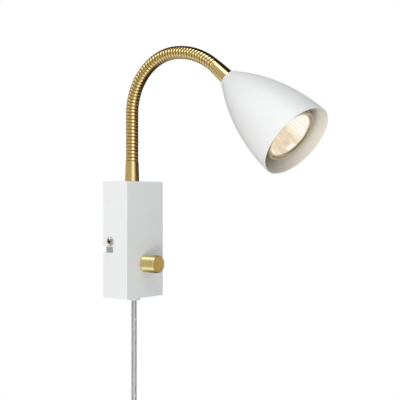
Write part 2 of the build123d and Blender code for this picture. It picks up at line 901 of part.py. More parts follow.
nodes = {
    "wall_bracket": wall_bracket(),
    "cover_box": cover_box(),
    "cover_screws": cover_screws(),
    "lower_ferrule": lower_ferrule(),
    "neck_washer": neck_washer(),
    "neck_nut": neck_nut(),
    "box_lead_sleeve": neck_lead(0),
    "upper_ferrule": upper_ferrule(),
    "head_lead_sleeve": neck_tube(
        lead_radius, joint_place(link_count) + lead_gap, neck_length + head_lead_end
    ),
    "shade": shade(),
    "shade_washer": shade_washer(),
    "shade_nut": stem_nut(shade_nut_low),
    "holder_strap": holder_strap(),
    "strap_nut": stem_nut(strap_nut_low),
    "bulb_holder": bulb_holder(),
    "holder_contacts": holder_contacts(),
    "holder_screws": holder_screws(),
    "head_leads": head_leads(),
    "bulb_reflector": bulb_reflector(),
    "bulb_lens": bulb_lens(),
    "bulb_burner": bulb_burner(),
    "bulb_base": bulb_base(),
    "bulb_pins": bulb_pins(),
    "dimmer_body": dimmer_body(),
    "dimmer_shaft": dimmer_shaft(),
    "dimmer_washer": dimmer_washer(),
    "dimmer_nut": dimmer_nut(),
    "knob": knob(),
    "knob_grub_screw": knob_grub_screw(),
    "dimmer_board": dimmer_board(),
    "dimmer_choke": dimmer_choke(),
    "dimmer_capacitor": dimmer_capacitor(),
    "dimmer_triac": dimmer_triac(),
    "terminal_block": terminal_block(),
    "terminal_screws": terminal_screws(),
    "box_leads": box_leads(),
    "cord_bushing": cord_bushing(),
    "bushing_nut": bushing_nut(),
    "mains_cord": mains_cord(),
    "cord_coil": cord_coil(),
    "coil_tie": coil_tie(),
    "plug_body": plug_body(),
    "plug_pins": plug_pins(),
}
for number in range(1, link_count + 1):
    nodes[f"neck_link_{number}"] = neck_link(number)
    nodes[f"neck_lead_{number}"] = neck_lead(number)

os.makedirs("parts", exist_ok=True)
for name, solid in nodes.items():
    piece = Compound(children=solid) if isinstance(solid, list) else solid
    export_step(piece, f"parts/{name}.step")

print("neck joints, each with its place and its direction:")
for number in range(link_count + 1):
    place, direction = neck_point(joint_place(number)), neck_direction(joint_place(number))
    print(number + 1, [round(x, 4) for x in place], [round(x, 6) for x in direction])
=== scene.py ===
import math

import bmesh
import bpy
from mathutils import Matrix, Vector


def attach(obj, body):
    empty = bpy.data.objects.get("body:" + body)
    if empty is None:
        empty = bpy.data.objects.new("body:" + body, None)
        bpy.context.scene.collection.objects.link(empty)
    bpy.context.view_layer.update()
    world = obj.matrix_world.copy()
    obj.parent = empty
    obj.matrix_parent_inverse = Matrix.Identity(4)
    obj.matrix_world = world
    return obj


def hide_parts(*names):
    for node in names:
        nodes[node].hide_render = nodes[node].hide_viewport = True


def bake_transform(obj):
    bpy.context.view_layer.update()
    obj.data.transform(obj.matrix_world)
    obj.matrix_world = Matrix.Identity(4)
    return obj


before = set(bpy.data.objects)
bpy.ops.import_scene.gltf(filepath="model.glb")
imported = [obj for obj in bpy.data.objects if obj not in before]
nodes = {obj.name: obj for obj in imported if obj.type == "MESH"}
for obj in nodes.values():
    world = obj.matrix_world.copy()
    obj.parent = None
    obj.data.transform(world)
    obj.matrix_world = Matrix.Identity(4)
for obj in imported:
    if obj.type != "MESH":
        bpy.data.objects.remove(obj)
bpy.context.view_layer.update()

mm = 0.001
tiny = 1e-6
bpy.context.scene.view_settings.view_transform = "Standard"


def linked(name, data):
    obj = bpy.data.objects.new(name, data)
    bpy.context.scene.collection.objects.link(obj)
    return obj


# camera, level with the box and well to its left
cameraLook = {"place": (-0.592, -0.576, 0.0377), "turn": 51.1, "lens": 75.6, "sensor": 36, "nearest": 0.01}


def addCamera(look):
    data = bpy.data.cameras.new("camera")
    data.lens = look["lens"]
    data.sensor_width = look["sensor"]
    data.sensor_fit = "HORIZONTAL"
    data.clip_start = look["nearest"]
    camera = linked("camera", data)
    camera.location = look["place"]
    camera.rotation_euler = (math.radians(90), 0, math.radians(-look["turn"]))
    bpy.context.scene.camera = camera


addCamera(cameraLook)


# colours are written as they look on a screen, 0 to 255
def tone(red, green, blue):
    def linear(c):
        c = c / 255
        return c / 12.92 if c <= 0.04045 else ((c + 0.055) / 1.055) ** 2.4
    return (linear(red), linear(green), linear(blue), 1.0)


# a number or vector that varies: sums on it add Math nodes to its tree
class Amount:
    def __init__(self, graph, socket):
        self.graph = graph
        self.socket = socket

    def maths(self, operation, other=0.0, swapped=False):
        first, second = (other, self) if swapped else (self, other)
        return self.graph.node("ShaderNodeMath", {"operation": operation}, {0: first, 1: second})

    def __add__(self, other):
        return self.maths("ADD", other)

    def __sub__(self, other):
        return self.maths("SUBTRACT", other)

    def __rsub__(self, other):
        return self.maths("SUBTRACT", other, swapped=True)

    def __mul__(self, other):
        return self.maths("MULTIPLY", other)

    def __truediv__(self, other):
        return self.maths("DIVIDE", other)

    __radd__ = __add__
    __rmul__ = __mul__

    def step(self, low, high):
        return self.graph.node("ShaderNodeMapRange", {"interpolation_type": "SMOOTHSTEP"},
                               {"Value": self, "From Min": low, "From Max": high})

    def swing(self, reach):
        # noise from 0 to 1, made as much below nothing as above it
        return (self - 0.5) * reach


class Graph:
    def __init__(self, tree):
        self.tree = tree

    def node(self, kind, settings=None, sockets=None, out=0):
        made = self.tree.nodes.new(kind)
        for key, value in (settings or {}).items():
            setattr(made, key, value)
        for key, value in (sockets or {}).items():
            for one in value if isinstance(value, list) else [value]:
                if isinstance(one, Amount):
                    self.tree.links.new(one.socket, made.inputs[key])
                else:
                    made.inputs[key].default_value = one
        if isinstance(out, list):
            return [Amount(self, made.outputs[name]) for name in out]
        return Amount(self, made.outputs[out]) if made.outputs else None

    def vector(self, operation, first, second=(0, 0, 0), out=0):
        return self.node("ShaderNodeVectorMath", {"operation": operation}, {0: first, 1: second}, out)

    def dot(self, first, second):
        return self.vector("DOT_PRODUCT", first, second, "Value")

    def mix(self, factor, first, second):
        # 6, 7 and 2 are the node's colour sockets
        return self.node("ShaderNodeMix", {"data_type": "RGBA"}, {0: factor, 6: first, 7: second}, 2)


class Paint(Graph):
    def __init__(self, name):
        self.material = bpy.data.materials.new(name)
        self.material.use_nodes = True
        super().__init__(self.material.node_tree)
        self.tree.nodes.clear()
        self.place = self.node("ShaderNodeTexCoord", out="Object")

    def noise(self, scale, detail=2.0, place=None):
        return self.node("ShaderNodeTexNoise", None,
                         {"Vector": place or self.place, "Scale": scale, "Detail": detail})

    def line(self, amount, scale, detail=2.0):
        return self.node("ShaderNodeTexNoise", {"noise_dimensions": "1D"},
                         {"W": amount, "Scale": scale, "Detail": detail})

    def along(self, origin, axis):
        return self.dot(self.vector("SUBTRACT", self.place, origin), axis)

    def spoke(self, origin, axis):
        # at right angles to the axis, as long as the distance from it
        return self.vector("CROSS_PRODUCT", self.vector("SUBTRACT", self.place, origin), axis)

    def awayFrom(self, origin, axis):
        return self.vector("LENGTH", self.spoke(origin, axis), out="Value")

    def attribute(self, name):
        return self.node("ShaderNodeAttribute", {"attribute_name": name}, out="Fac")

    def bump(self, height, distance):
        return self.node("ShaderNodeBump", None, {"Strength": 1.0, "Distance": distance, "Height": height})

    def tones(self, factor, first, second):
        return self.mix(factor, tone(*first), tone(*second))

    def ramp(self, factor, stops):
        colour = self.node("ShaderNodeValToRGB", None, {"Fac": factor})
        elements = colour.socket.node.color_ramp.elements
        while len(elements) < len(stops):
            elements.new(0.5)
        for element, (position, look) in zip(elements, stops):
            element.position = position
            element.color = tone(*look)
        return colour

    def finish(self, sockets):
        surface = self.node("ShaderNodeBsdfPrincipled", None, sockets)
        self.node("ShaderNodeOutputMaterial", None, {"Surface": surface})
        return self.material


# finishes: the settings of each kind, and what makes it
lacquer = {"Coat Weight": 0.5, "Coat Roughness": 0.08}
coatKind = {"cloud": 18, "clouded": (0.35, 0.7), "finer": 4.3, "fineShare": 0.3,
            "peelRough": 0.10, "cloudRough": 0.06, "index": 1.5}


def powderCoat(name, colour, dimmer, rough, scale, depth, kind=coatKind):
    # sprayed paint with a slight orange peel
    paint = Paint(name)
    cloud = paint.noise(kind["cloud"], 3)
    peel = paint.noise(scale, 2)
    fine = paint.noise(scale * kind["finer"], 1)
    return paint.finish({
        "Base Color": paint.tones(cloud.step(*kind["clouded"]), colour, dimmer),
        "Roughness": rough + peel.swing(kind["peelRough"]) + cloud.swing(kind["cloudRough"]),
        "IOR": kind["index"],
        "Normal": paint.bump(peel + fine * kind["fineShare"], depth),
    })


turnedKind = {"coarser": 0.13, "coarseShare": 0.4, "cloud": 60, "cloudShare": 0.5,
              "lineRough": 0.10, "cloudRough": 0.06}


def turnedBrass(name, colour, deeper, rough, scale, depth, origin, axis, kind=turnedKind):
    # fine lines round the axis, on the side and on the end faces
    paint = Paint(name)
    run = paint.along(origin, axis) + paint.awayFrom(origin, axis)
    lines = paint.line(run, scale, 3)
    coarse = paint.line(run, scale * kind["coarser"], 2)
    cloud = paint.noise(kind["cloud"], 3)
    return paint.finish({
        "Base Color": paint.tones(cloud * kind["cloudShare"] + coarse * kind["coarseShare"], colour, deeper),
        "Metallic": 1.0,
        "Roughness": rough + lines.swing(kind["lineRough"]) + cloud.swing(kind["cloudRough"]),
        "Normal": paint.bump(lines, depth),
    } | lacquer)


woundKind = {"cloud": 90, "cloudShare": 0.6, "grooved": (0.34, 0.80), "grooveRough": 0.15,
             "scratchRough": 0.06}


def woundBrass(name, colour, deeper, rough, scale, depth, tarnishAndShadeColour, tarnishAndShade, kind=woundKind):
    # darker between the ribs: tarnish there, and painted shade where the grooves fall into shadow
    paint = Paint(name)
    groove = paint.attribute("groove")
    cloud = paint.noise(kind["cloud"], 3)
    scratch = paint.noise(scale, 2)
    worn = paint.tones(cloud * kind["cloudShare"], colour, deeper)
    return paint.finish({
        # the groove colour is tarnish together with painted shade
        "Base Color": paint.mix(groove.step(*kind["grooved"]) * tarnishAndShade, worn, tone(*tarnishAndShadeColour)),
        "Metallic": 1.0,
        "Roughness": rough + groove * kind["grooveRough"] + scratch.swing(kind["scratchRough"]),
        "Normal": paint.bump(scratch, depth),
    } | lacquer)


platedKind = {"cloud": 140, "cloudShare": 0.4, "flakeShare": 0.5, "flakeRough": 0.1,
              "fine": 1600, "fineRough": 0.1}


def platedSteel(name, colour, deeper, rough, scale, depth, kind=platedKind):
    # small flakes of plating
    paint = Paint(name)
    spangle = paint.node("ShaderNodeTexVoronoi", None, {"Vector": paint.place, "Scale": scale}, "Color")
    flake = paint.node("ShaderNodeSeparateColor", None, {0: spangle})
    cloud = paint.noise(kind["cloud"], 3)
    fine = paint.noise(kind["fine"], 2)
    return paint.finish({
        "Base Color": paint.tones(flake * kind["flakeShare"] + cloud * kind["cloudShare"], colour, deeper),
        "Metallic": 1.0,
        "Roughness": rough + flake.swing(kind["flakeRough"]) + fine.swing(kind["fineRough"]),
        "Normal": paint.bump(fine, depth),
    })


mouldedKind = {"cloud": 45, "grainRough": 0.12, "index": 1.46}


def moulded(name, colour, deeper, rough, scale, depth, kind=mouldedKind):
    # plastic, laminate or ceramic with an even grain
    paint = Paint(name)
    cloud = paint.noise(kind["cloud"], 3)
    grain = paint.noise(scale, 2)
    return paint.finish({
        "Base Color": paint.tones(cloud, colour, deeper),
        "Roughness": rough + grain.swing(kind["grainRough"]),
        "IOR": kind["index"],
        "Normal": paint.bump(grain, depth),
    })


def placed(point, axis="Z", degrees=0):
    # a turn about one axis, then a move in mm
    return Matrix.Translation(Vector(point) * mm) @ Matrix.Rotation(math.radians(degrees), 4, axis)


# where the turned pieces stand: each is drawn about its own Z axis
headPitch = math.radians(39.6)
headAxis = Vector((0, -math.cos(headPitch), -math.sin(headPitch)))
headUp = Vector((0, -math.sin(headPitch), math.cos(headPitch)))
headFoot = Vector((0, -116.1904, 156.7183)) * mm
headTurn = Matrix((
    (1, 0, 0, headFoot.x),
    (0, headUp.y, headAxis.y, headFoot.y),
    (0, headUp.z, headAxis.z, headFoot.z),
    (0, 0, 0, 1),
))
neckFoot = (0, -13.8, 55.4)
topTurn = placed(neckFoot)
knobTurn = placed((0, -31.2, -23), "X", 90)
bushingTurn = placed((0, -16.4, -55.4), "X", 180)

# the kind of each finish, its colour, its deeper colour, its roughness, the scale and depth of its grain,
# and what else the kind asks for
finishLooks = {
    "boxWhite": (powderCoat, (240, 242, 242), (237, 239, 239), 0.55, 900, 0.00004),
    "shadeWhite": (powderCoat, (236, 237, 237), (233, 234, 234), 0.50, 1000, 0.00003),
    # painted warm light: the white inside of the shade is tinted cream for the bulb's light falling on it
    "shadeInside": (powderCoat, (251, 245, 233), (248, 241, 228), 0.60, 900, 0.00004),
    # the neck's dark groove colour is tarnish and painted shade
    "neckBrass": (woundBrass, (236, 210, 146), (227, 196, 124), 0.18, 420, 0.00001, (56, 34, 10), 0.92),
    "lowFerruleBrass": (turnedBrass, (234, 214, 155), (225, 200, 136), 0.26, 2600, 0.0000005,
                        topTurn.translation, (0, 0, 1)),
    "highFerruleBrass": (turnedBrass, (230, 210, 155), (222, 197, 138), 0.14, 2600, 0.0000005,
                         headFoot, headAxis),
    "knobBrass": (turnedBrass, (236, 226, 170), (228, 212, 148), 0.30, 5200, 0.000003,
                  knobTurn.translation, (0, -1, 0)),
    "zincPlate": (platedSteel, (207, 217, 229), (187, 199, 213), 0.45, 260, 0.00003),
    "nickelSteel": (platedSteel, (214, 213, 210), (190, 188, 184), 0.2, 900, 0.000008),
    # a dark copy of the nickel steel: painted shade in the cross recess
    "recessSteel": (platedSteel, (96, 84, 74), (58, 50, 44), 0.5, 900, 0.00002),
    "plainBrass": (platedSteel, (205, 170, 96), (180, 142, 70), 0.35, 700, 0.00002),
    "copperWire": (platedSteel, (190, 108, 66), (160, 84, 48), 0.3, 800, 0.00003),
    "ceramicWhite": (moulded, (226, 222, 212), (212, 206, 194), 0.7, 1500, 0.00006),
    "blackPlastic": (moulded, (40, 40, 42), (28, 28, 30), 0.5, 1900, 0.00005),
    "whitePlastic": (moulded, (235, 235, 232), (226, 226, 222), 0.38, 1700, 0.00003),
    "plugPlastic": (moulded, (232, 232, 230), (222, 222, 219), 0.3, 1200, 0.00003),
    "boardLaminate": (moulded, (150, 118, 64), (128, 98, 50), 0.55, 2400, 0.00004),
    "capacitorBody": (moulded, (190, 92, 40), (170, 78, 32), 0.3, 900, 0.00003),
    "sleeveWhite": (moulded, (222, 222, 216), (208, 208, 200), 0.45, 1400, 0.00003),
    "coreBrown": (moulded, (120, 74, 44), (104, 62, 36), 0.35, 1400, 0.00002),
}
finishes = {name: kind(name, *look) for name, (kind, *look) in finishLooks.items()}
print("finishes:", len(finishes))


# mesh helpers, in mm

def toMesh(bm, name):
    mesh = bpy.data.meshes.new(name)
    bm.to_mesh(mesh)
    bm.free()
    return mesh


def merged(name, meshes):
    bm = bmesh.new()
    for mesh in meshes:
        bm.from_mesh(mesh)
    return toMesh(bm, name)


def evaluated(obj):
    graph = bpy.context.evaluated_depsgraph_get()
    graph.update()
    return bpy.data.meshes.new_from_object(obj.evaluated_get(graph), depsgraph=graph)


def block(low, high, edge=0):
    # a box between two corners, with rounded edges everywhere but at the wall
    bm = bmesh.new()
    bmesh.ops.create_cube(bm, size=1)
    for v in bm.verts:
        v.co = Vector([a + (b - a) * (c + 0.5) for a, b, c in zip(low, high, v.co)]) * mm
    if edge:
        atWall = high[1] * mm - tiny
        edges = [e for e in bm.edges if min(v.co.y for v in e.verts) < atWall]
        bmesh.ops.bevel(bm, geom=edges, offset=edge * mm, segments=5, profile=0.5, affect="EDGES")
    return toMesh(bm, "block")


def rounded(points, steps=4, most=0.49):
    # (radius, height, corner radius) triples to a smooth outline; a corner takes less than half of each side
    out = []
    for n, (r, h, corner) in enumerate(points):
        here = Vector((r, h))
        if not corner or n in (0, len(points) - 1):
            out.append(here)
            continue
        before, after = (Vector(points[k][:2]) - here for k in (n - 1, n + 1))
        half = before.angle(after) / 2
        cut = min(corner / math.tan(half), before.length * most, after.length * most)
        size = cut * math.tan(half)
        start, end = here + before.normalized() * cut, here + after.normalized() * cut
        middle = here + (before.normalized() + after.normalized()).normalized() * (size / math.sin(half))
        for k in range(steps + 1):
            spoke = (start - middle).lerp(end - middle, k / steps)
            out.append(middle + spoke.normalized() * size)
    return out


def arcThrough(a, b, c, steps):
    ax, ay, bx, by, cx, cy = *a, *b, *c
    aa, bb, cc = ax * ax + ay * ay, bx * bx + by * by, cx * cx + cy * cy
    d = 2 * (ax * (by - cy) + bx * (cy - ay) + cx * (ay - by))
    ux = (aa * (by - cy) + bb * (cy - ay) + cc * (ay - by)) / d
    uy = (aa * (cx - bx) + bb * (ax - cx) + cc * (bx - ax)) / d
    size = math.hypot(ax - ux, ay - uy)
    first, last = math.atan2(ay - uy, ax - ux), math.atan2(cy - uy, cx - ux)
    turns = [first + (last - first) * k / steps for k in range(steps + 1)]
    return [(ux + size * math.cos(t), uy + size * math.sin(t)) for t in turns]


def lathe(outline, turn, segments=96, closed=False):
    # outline of (radius, height), turned about the local Z axis
    bm = bmesh.new()
    angles = [math.tau * k / segments for k in range(segments)]
    rings = []
    for r, h in outline:
        if r < tiny:
            rings.append([bm.verts.new((0, 0, h * mm))])
        else:
            rings.append([bm.verts.new((r * mm * math.cos(a), r * mm * math.sin(a), h * mm)) for a in angles])
    pairs = list(zip(rings, rings[1:])) + ([(rings[-1], rings[0])] if closed else [])
    for low, high in pairs:
        for k in range(segments):
            j = (k + 1) % segments
            face = [low[k % len(low)], low[j % len(low)], high[j % len(high)], high[k % len(high)]]
            face = list(dict.fromkeys(face))
            if len(face) > 2:
                bm.faces.new(face)
    bmesh.ops.recalc_face_normals(bm, faces=bm.faces)
    mesh = toMesh(bm, "lathe")
    mesh.transform(turn)
    return mesh


def turnedRing(points, turn, segments=96):
    # a closed outline with a hole through its middle
    return lathe(rounded(points + points[:1])[:-1], turn, segments, closed=True)


def cutAway(mesh, tools):
    # mesh less each of the tools
    work = linked("work", mesh)
    helpers = []
    for tool in tools:
        helpers.append(linked("tool", tool))
        cut = work.modifiers.new("cut", "BOOLEAN")
        cut.operation = "DIFFERENCE"
        cut.solver = "EXACT"
        cut.object = helpers[-1]
    result = evaluated(work)
    for helper in [work, *helpers]:
        bpy.data.objects.remove(helper)
    return result


def meshObject(name, mesh, finish, sharp=35):
    # with several finishes, each face already has the number of its own
    numbers = [face.material_index for face in mesh.polygons]
    mesh.materials.clear()
    for one in finish if isinstance(finish, tuple) else (finish,):
        mesh.materials.append(finishes[one] if isinstance(one, str) else one)
    mesh.polygons.foreach_set("material_index", numbers)
    mesh.shade_smooth()
    mesh.set_sharp_from_angle(angle=math.radians(sharp))
    return linked(name, mesh)


def addPiece(name, mesh, finish, body, slot, *replaced, sharp=35):
    piece = meshObject(name, mesh, finish, sharp)
    # wide faces stay flat next to their rounded edges
    weigh = piece.modifiers.new("weigh", "WEIGHTED_NORMAL")
    weigh.keep_sharp = True
    piece.data = evaluated(piece)
    piece.modifiers.clear()
    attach(piece, body)
    if replaced:
        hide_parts(*replaced)
    return piece


# cord: its route down from the box, then the put-away coil and the straight end at the plug, in metres
cordLook = {
    "width": 5.4 * mm, "thickness": 3.2 * mm, "waist": 0.80, "lobeTurn": 75, "lobeSteps": 10,
    "coreApart": 2.5 * mm, "coreRadius": 0.85 * mm, "coreSteps": 10,
    "length": 1.89, "turnPoints": 16, "samples": 6, "plugDrop": 24 * mm,
    "facing": (0.628, -0.778, 0), "coiling": (0, -1, 0), "turnFrom": 0.10, "turnOver": 0.13,
}
cordRoute = [(0, -0.0164, -0.046), (0, -0.0164, -0.1273), (0, -0.0164, -0.187),
             (-0.0375, -0.0051, -0.232), (-0.0375, -0.0051, -0.262)]
coilLook = {"start": (-0.0375, -0.0051, -0.2674), "radius": 37.5 * mm, "step": 6.8 * mm,
            "halfTurns": (3, 3, 3, 4)}
sheathLook = {"colours": ((238, 240, 240), (230, 233, 233)), "cloud": 60, "grain": 1500, "rough": 0.10,
              "grainRough": 0.08, "index": 1.33, "depth": 0.00002}
coreLook = {"colours": ((128, 129, 130), (200, 200, 199)), "cloud": 300, "strands": 5, "twist": 1.1,
            "rough": 0.5, "cloudRough": 0.1, "depth": 0.0001}


def coilPoints(coil, turnPoints):
    # inwards through one layer, outwards through the next
    radii, layers = [coil["radius"]], [0]
    for layer, count in enumerate(coil["halfTurns"]):
        if layer:
            radii.append(radii[-1])
            layers.append(layer)
        for _ in range(count):
            radii.append(radii[-1] + coil["step"] / 2 * (1 if layer % 2 else -1))
            layers.append(layer)
    centre = Vector(coil["start"]) + Vector((coil["radius"], 0, 0))
    swell = 1 / (0.5 + 0.5 * math.cos(math.pi / turnPoints))  # a spline runs inside its control points
    perHalf = turnPoints // 2
    points = []
    for n in range(len(radii) - 1):
        for k in range(perHalf):
            t = k / perHalf
            r = (radii[n] + (radii[n + 1] - radii[n]) * t) * swell
            y = -coil["step"] * (layers[n] + (layers[n + 1] - layers[n]) * t)
            a = math.pi * (1 + n + t)
            points.append(centre + Vector((r * math.cos(a), y, r * math.sin(a))))
    end = Vector((radii[-1] * math.cos(math.pi * len(radii)), -coil["step"] * layers[-1], 0))
    return points + [centre + end]


def cordLine(look):
    turns = coilPoints(coilLook, look["turnPoints"])
    end = turns[-1] - Vector((0, 0, look["plugDrop"]))
    points = [Vector(p) for p in cordRoute] + turns + [turns[-1].lerp(end, 0.5), end]
    data = bpy.data.curves.new("cordLine", "CURVE")
    data.dimensions = "3D"
    data.resolution_u = look["samples"]
    spline = data.splines.new("NURBS")
    spline.points.add(len(points) - 1)
    for point, place in zip(spline.points, points):
        point.co = (*place, 1)
    spline.order_u = 3
    spline.use_endpoint_u = True
    obj = linked("cordLine", data)
    line = [v.co.copy() for v in evaluated(obj).vertices]
    bpy.data.objects.remove(obj)
    return line, end


def cordFrames(line, look):
    # the flat cord faces the room where it hangs, and lies flat round its coil
    facing, coiling = Vector(look["facing"]), Vector(look["coiling"])
    frames, travelled = [], 0
    for n, place in enumerate(line):
        ahead = (line[min(n + 1, len(line) - 1)] - line[max(n - 1, 0)]).normalized()
        if n:
            travelled += (place - line[n - 1]).length
        share = min(max((travelled - look["turnFrom"]) / look["turnOver"], 0), 1)
        share = share * share * (3 - 2 * share)
        wide = facing.lerp(coiling, share)
        wide = (wide - ahead * wide.dot(ahead)).normalized()
        frames.append((place, wide, ahead.cross(wide), travelled))
    return frames


def sweepOutline(name, frames, outline, finish, sharp=60):
    bm = bmesh.new()
    run = bm.loops.layers.uv.new("run")  # once around, and centimetres along
    perMetre = 100
    rings = [[bm.verts.new(place + wide * x + thin * y) for x, y in outline]
             for place, wide, thin, _ in frames]
    count = len(outline)
    for n, (low, high) in enumerate(zip(rings, rings[1:])):
        for k in range(count):
            j = (k + 1) % count
            face = bm.faces.new((low[k], low[j], high[j], high[k]))
            spots = ((k, n), (k + 1, n), (k + 1, n + 1), (k, n + 1))
            for loop, (around, along) in zip(face.loops, spots):
                loop[run].uv = (around / count, frames[along][3] * perMetre)
    bm.faces.new(list(reversed(rings[0])))
    bm.faces.new(rings[-1])
    bmesh.ops.recalc_face_normals(bm, faces=bm.faces)
    return meshObject(name, toMesh(bm, name), finish, sharp)


def twinOutline(look):
    # two round lobes with a shallow waist between them
    lobe, turn, steps = look["thickness"] / 2, look["lobeTurn"], look["lobeSteps"]
    side = look["width"] / 2 - lobe
    spots = []
    for sign in (1, -1):
        for k in range(steps + 1):
            a = math.radians(-turn + 2 * turn * k / steps)
            spots.append((sign * (side + lobe * math.cos(a)), sign * lobe * math.sin(a)))
        spots.append((0, sign * lobe * look["waist"]))
    return spots


def ringOutline(radius, offset, count):
    turns = [math.tau * k / count for k in range(count)]
    return [(offset + radius * math.cos(t), radius * math.sin(t)) for t in turns]


def clearSheath(look):
    paint = Paint("clearSheath")
    cloud = paint.noise(look["cloud"], 2)
    grain = paint.noise(look["grain"], 2)
    return paint.finish({
        "Base Color": paint.tones(cloud, *look["colours"]),
        "Roughness": look["rough"] + grain * look["grainRough"],
        "IOR": look["index"],
        "Transmission Weight": 1.0,
        "Normal": paint.bump(grain, look["depth"]),
    })


def strandedCore(look):
    paint = Paint("strandedCore")
    spot = paint.node("ShaderNodeUVMap", {"uv_map": "run"})
    around, run = paint.node("ShaderNodeSeparateXYZ", None, {0: spot}, ["X", "Y"])
    strand = 0.5 + 0.5 * ((around * look["strands"] + run * look["twist"]) * math.tau).maths("SINE")
    cloud = paint.noise(look["cloud"], 2)
    return paint.finish({
        "Base Color": paint.tones(strand, *look["colours"]),
        "Metallic": 1.0,
        "Roughness": look["rough"] + cloud.swing(look["cloudRough"]),
        "Normal": paint.bump(strand, look["depth"]),
    })


def addCord(look):
    line, end = cordLine(look)
    frames = cordFrames(line, look)
    sheath = sweepOutline("mainsCord", frames, twinOutline(look), clearSheath(sheathLook))
    stranded = strandedCore(coreLook)
    cores = []
    for name, side in (("cordCoreLeft", -1), ("cordCoreRight", 1)):
        outline = ringOutline(look["coreRadius"], side * look["coreApart"] / 2, look["coreSteps"])
        cores.append(sweepOutline(name, frames, outline, stranded))
    for piece in [sheath, *cores]:
        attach(piece, "wall_box")
    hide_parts("mains_cord", "cord_coil")
    print("cord:", round(frames[-1][3], 3), "m on", len(line), "points")
    return sheath, cores, line, end


cordSheath, cordCores, cordPoints, cordEnd = addCord(cordLook)


# neck: a wound hose, cut at the middle of each link so that every cut lies in one body
neckLook = {
    "rise": 65.42, "firstRadius": 53.5, "secondRadius": 76.7, "guideExtra": 12, "guidePoints": 2,
    "crest": 6.0, "depth": 0.26, "bore": 2.3, "pitch": 3.33, "ringsPerRib": 10, "boreRows": 12, "around": 56,
    "firstJoint": 19.2, "jointStep": 22.5626, "links": 8, "start": 19.0, "end": 2.77, "tuck": 0.4,
    "bendHalf": 9.5, "endHalf": 2.0, "weld": 2e-6, "sharp": 80,
}


def neckPlace(along, look=neckLook):
    # point and direction of the neck's line, that far from the top of the box
    foot = Vector(neckFoot)
    rise, first, second = look["rise"], look["firstRadius"], look["secondRadius"]
    crown = rise + math.pi / 2 * first
    neckEnd = crown + headPitch * second
    if along <= rise:
        return foot + Vector((0, 0, along)), Vector((0, 0, 1))
    climb, size = math.pi / 2 - (along - rise) / first, first
    middle = foot + Vector((0, -first, rise))
    if along > crown:
        climb, size = -(min(along, neckEnd) - crown) / second, second
        middle = middle + Vector((0, 0, first - second))
    ahead = Vector((0, -math.cos(climb), math.sin(climb)))
    point = middle + Vector((0, math.sin(climb), math.cos(climb))) * size
    return point + ahead * max(along - neckEnd, 0), ahead


def neckGuide(length, look):
    data = bpy.data.curves.new("neckGuide", "CURVE")
    data.dimensions = "3D"
    spline = data.splines.new("POLY")
    count = int(length * look["guidePoints"])
    spline.points.add(count)
    for n, point in enumerate(spline.points):
        point.co = (*(neckPlace(length * n / count)[0] * mm), 1)
    return linked("neckGuide", data)


class Tree(Graph):
    # a Geometry Nodes tree with named inputs
    def __init__(self, name, inputs):
        super().__init__(bpy.data.node_groups.new(name, "GeometryNodeTree"))
        face = self.tree.interface
        face.new_socket("Geometry", in_out="INPUT", socket_type="NodeSocketGeometry")
        self.keys = {}
        for title, kind in inputs.items():
            self.keys[title] = face.new_socket(title, in_out="INPUT", socket_type=kind).identifier
        face.new_socket("Geometry", in_out="OUTPUT", socket_type="NodeSocketGeometry")
        self.entry = self.tree.nodes.new("NodeGroupInput")

    def get(self, title):
        return Amount(self, self.entry.outputs[title])

    def finish(self, shape, finish):
        real = self.node("GeometryNodeRealizeInstances", None, {0: shape})
        done = self.node("GeometryNodeSetMaterial", None, {"Geometry": real, "Material": finish})
        self.node("NodeGroupOutput", None, {0: done})

    def mesh(self, values):
        # the tree's shape with those inputs, as a plain mesh
        obj = linked("tree", bpy.data.meshes.new("tree"))
        modifier = obj.modifiers.new("tree", "NODES")
        modifier.node_group = self.tree
        for title, value in values.items():
            modifier[self.keys[title]] = value
        mesh = evaluated(obj)
        bpy.data.objects.remove(obj)
        return mesh


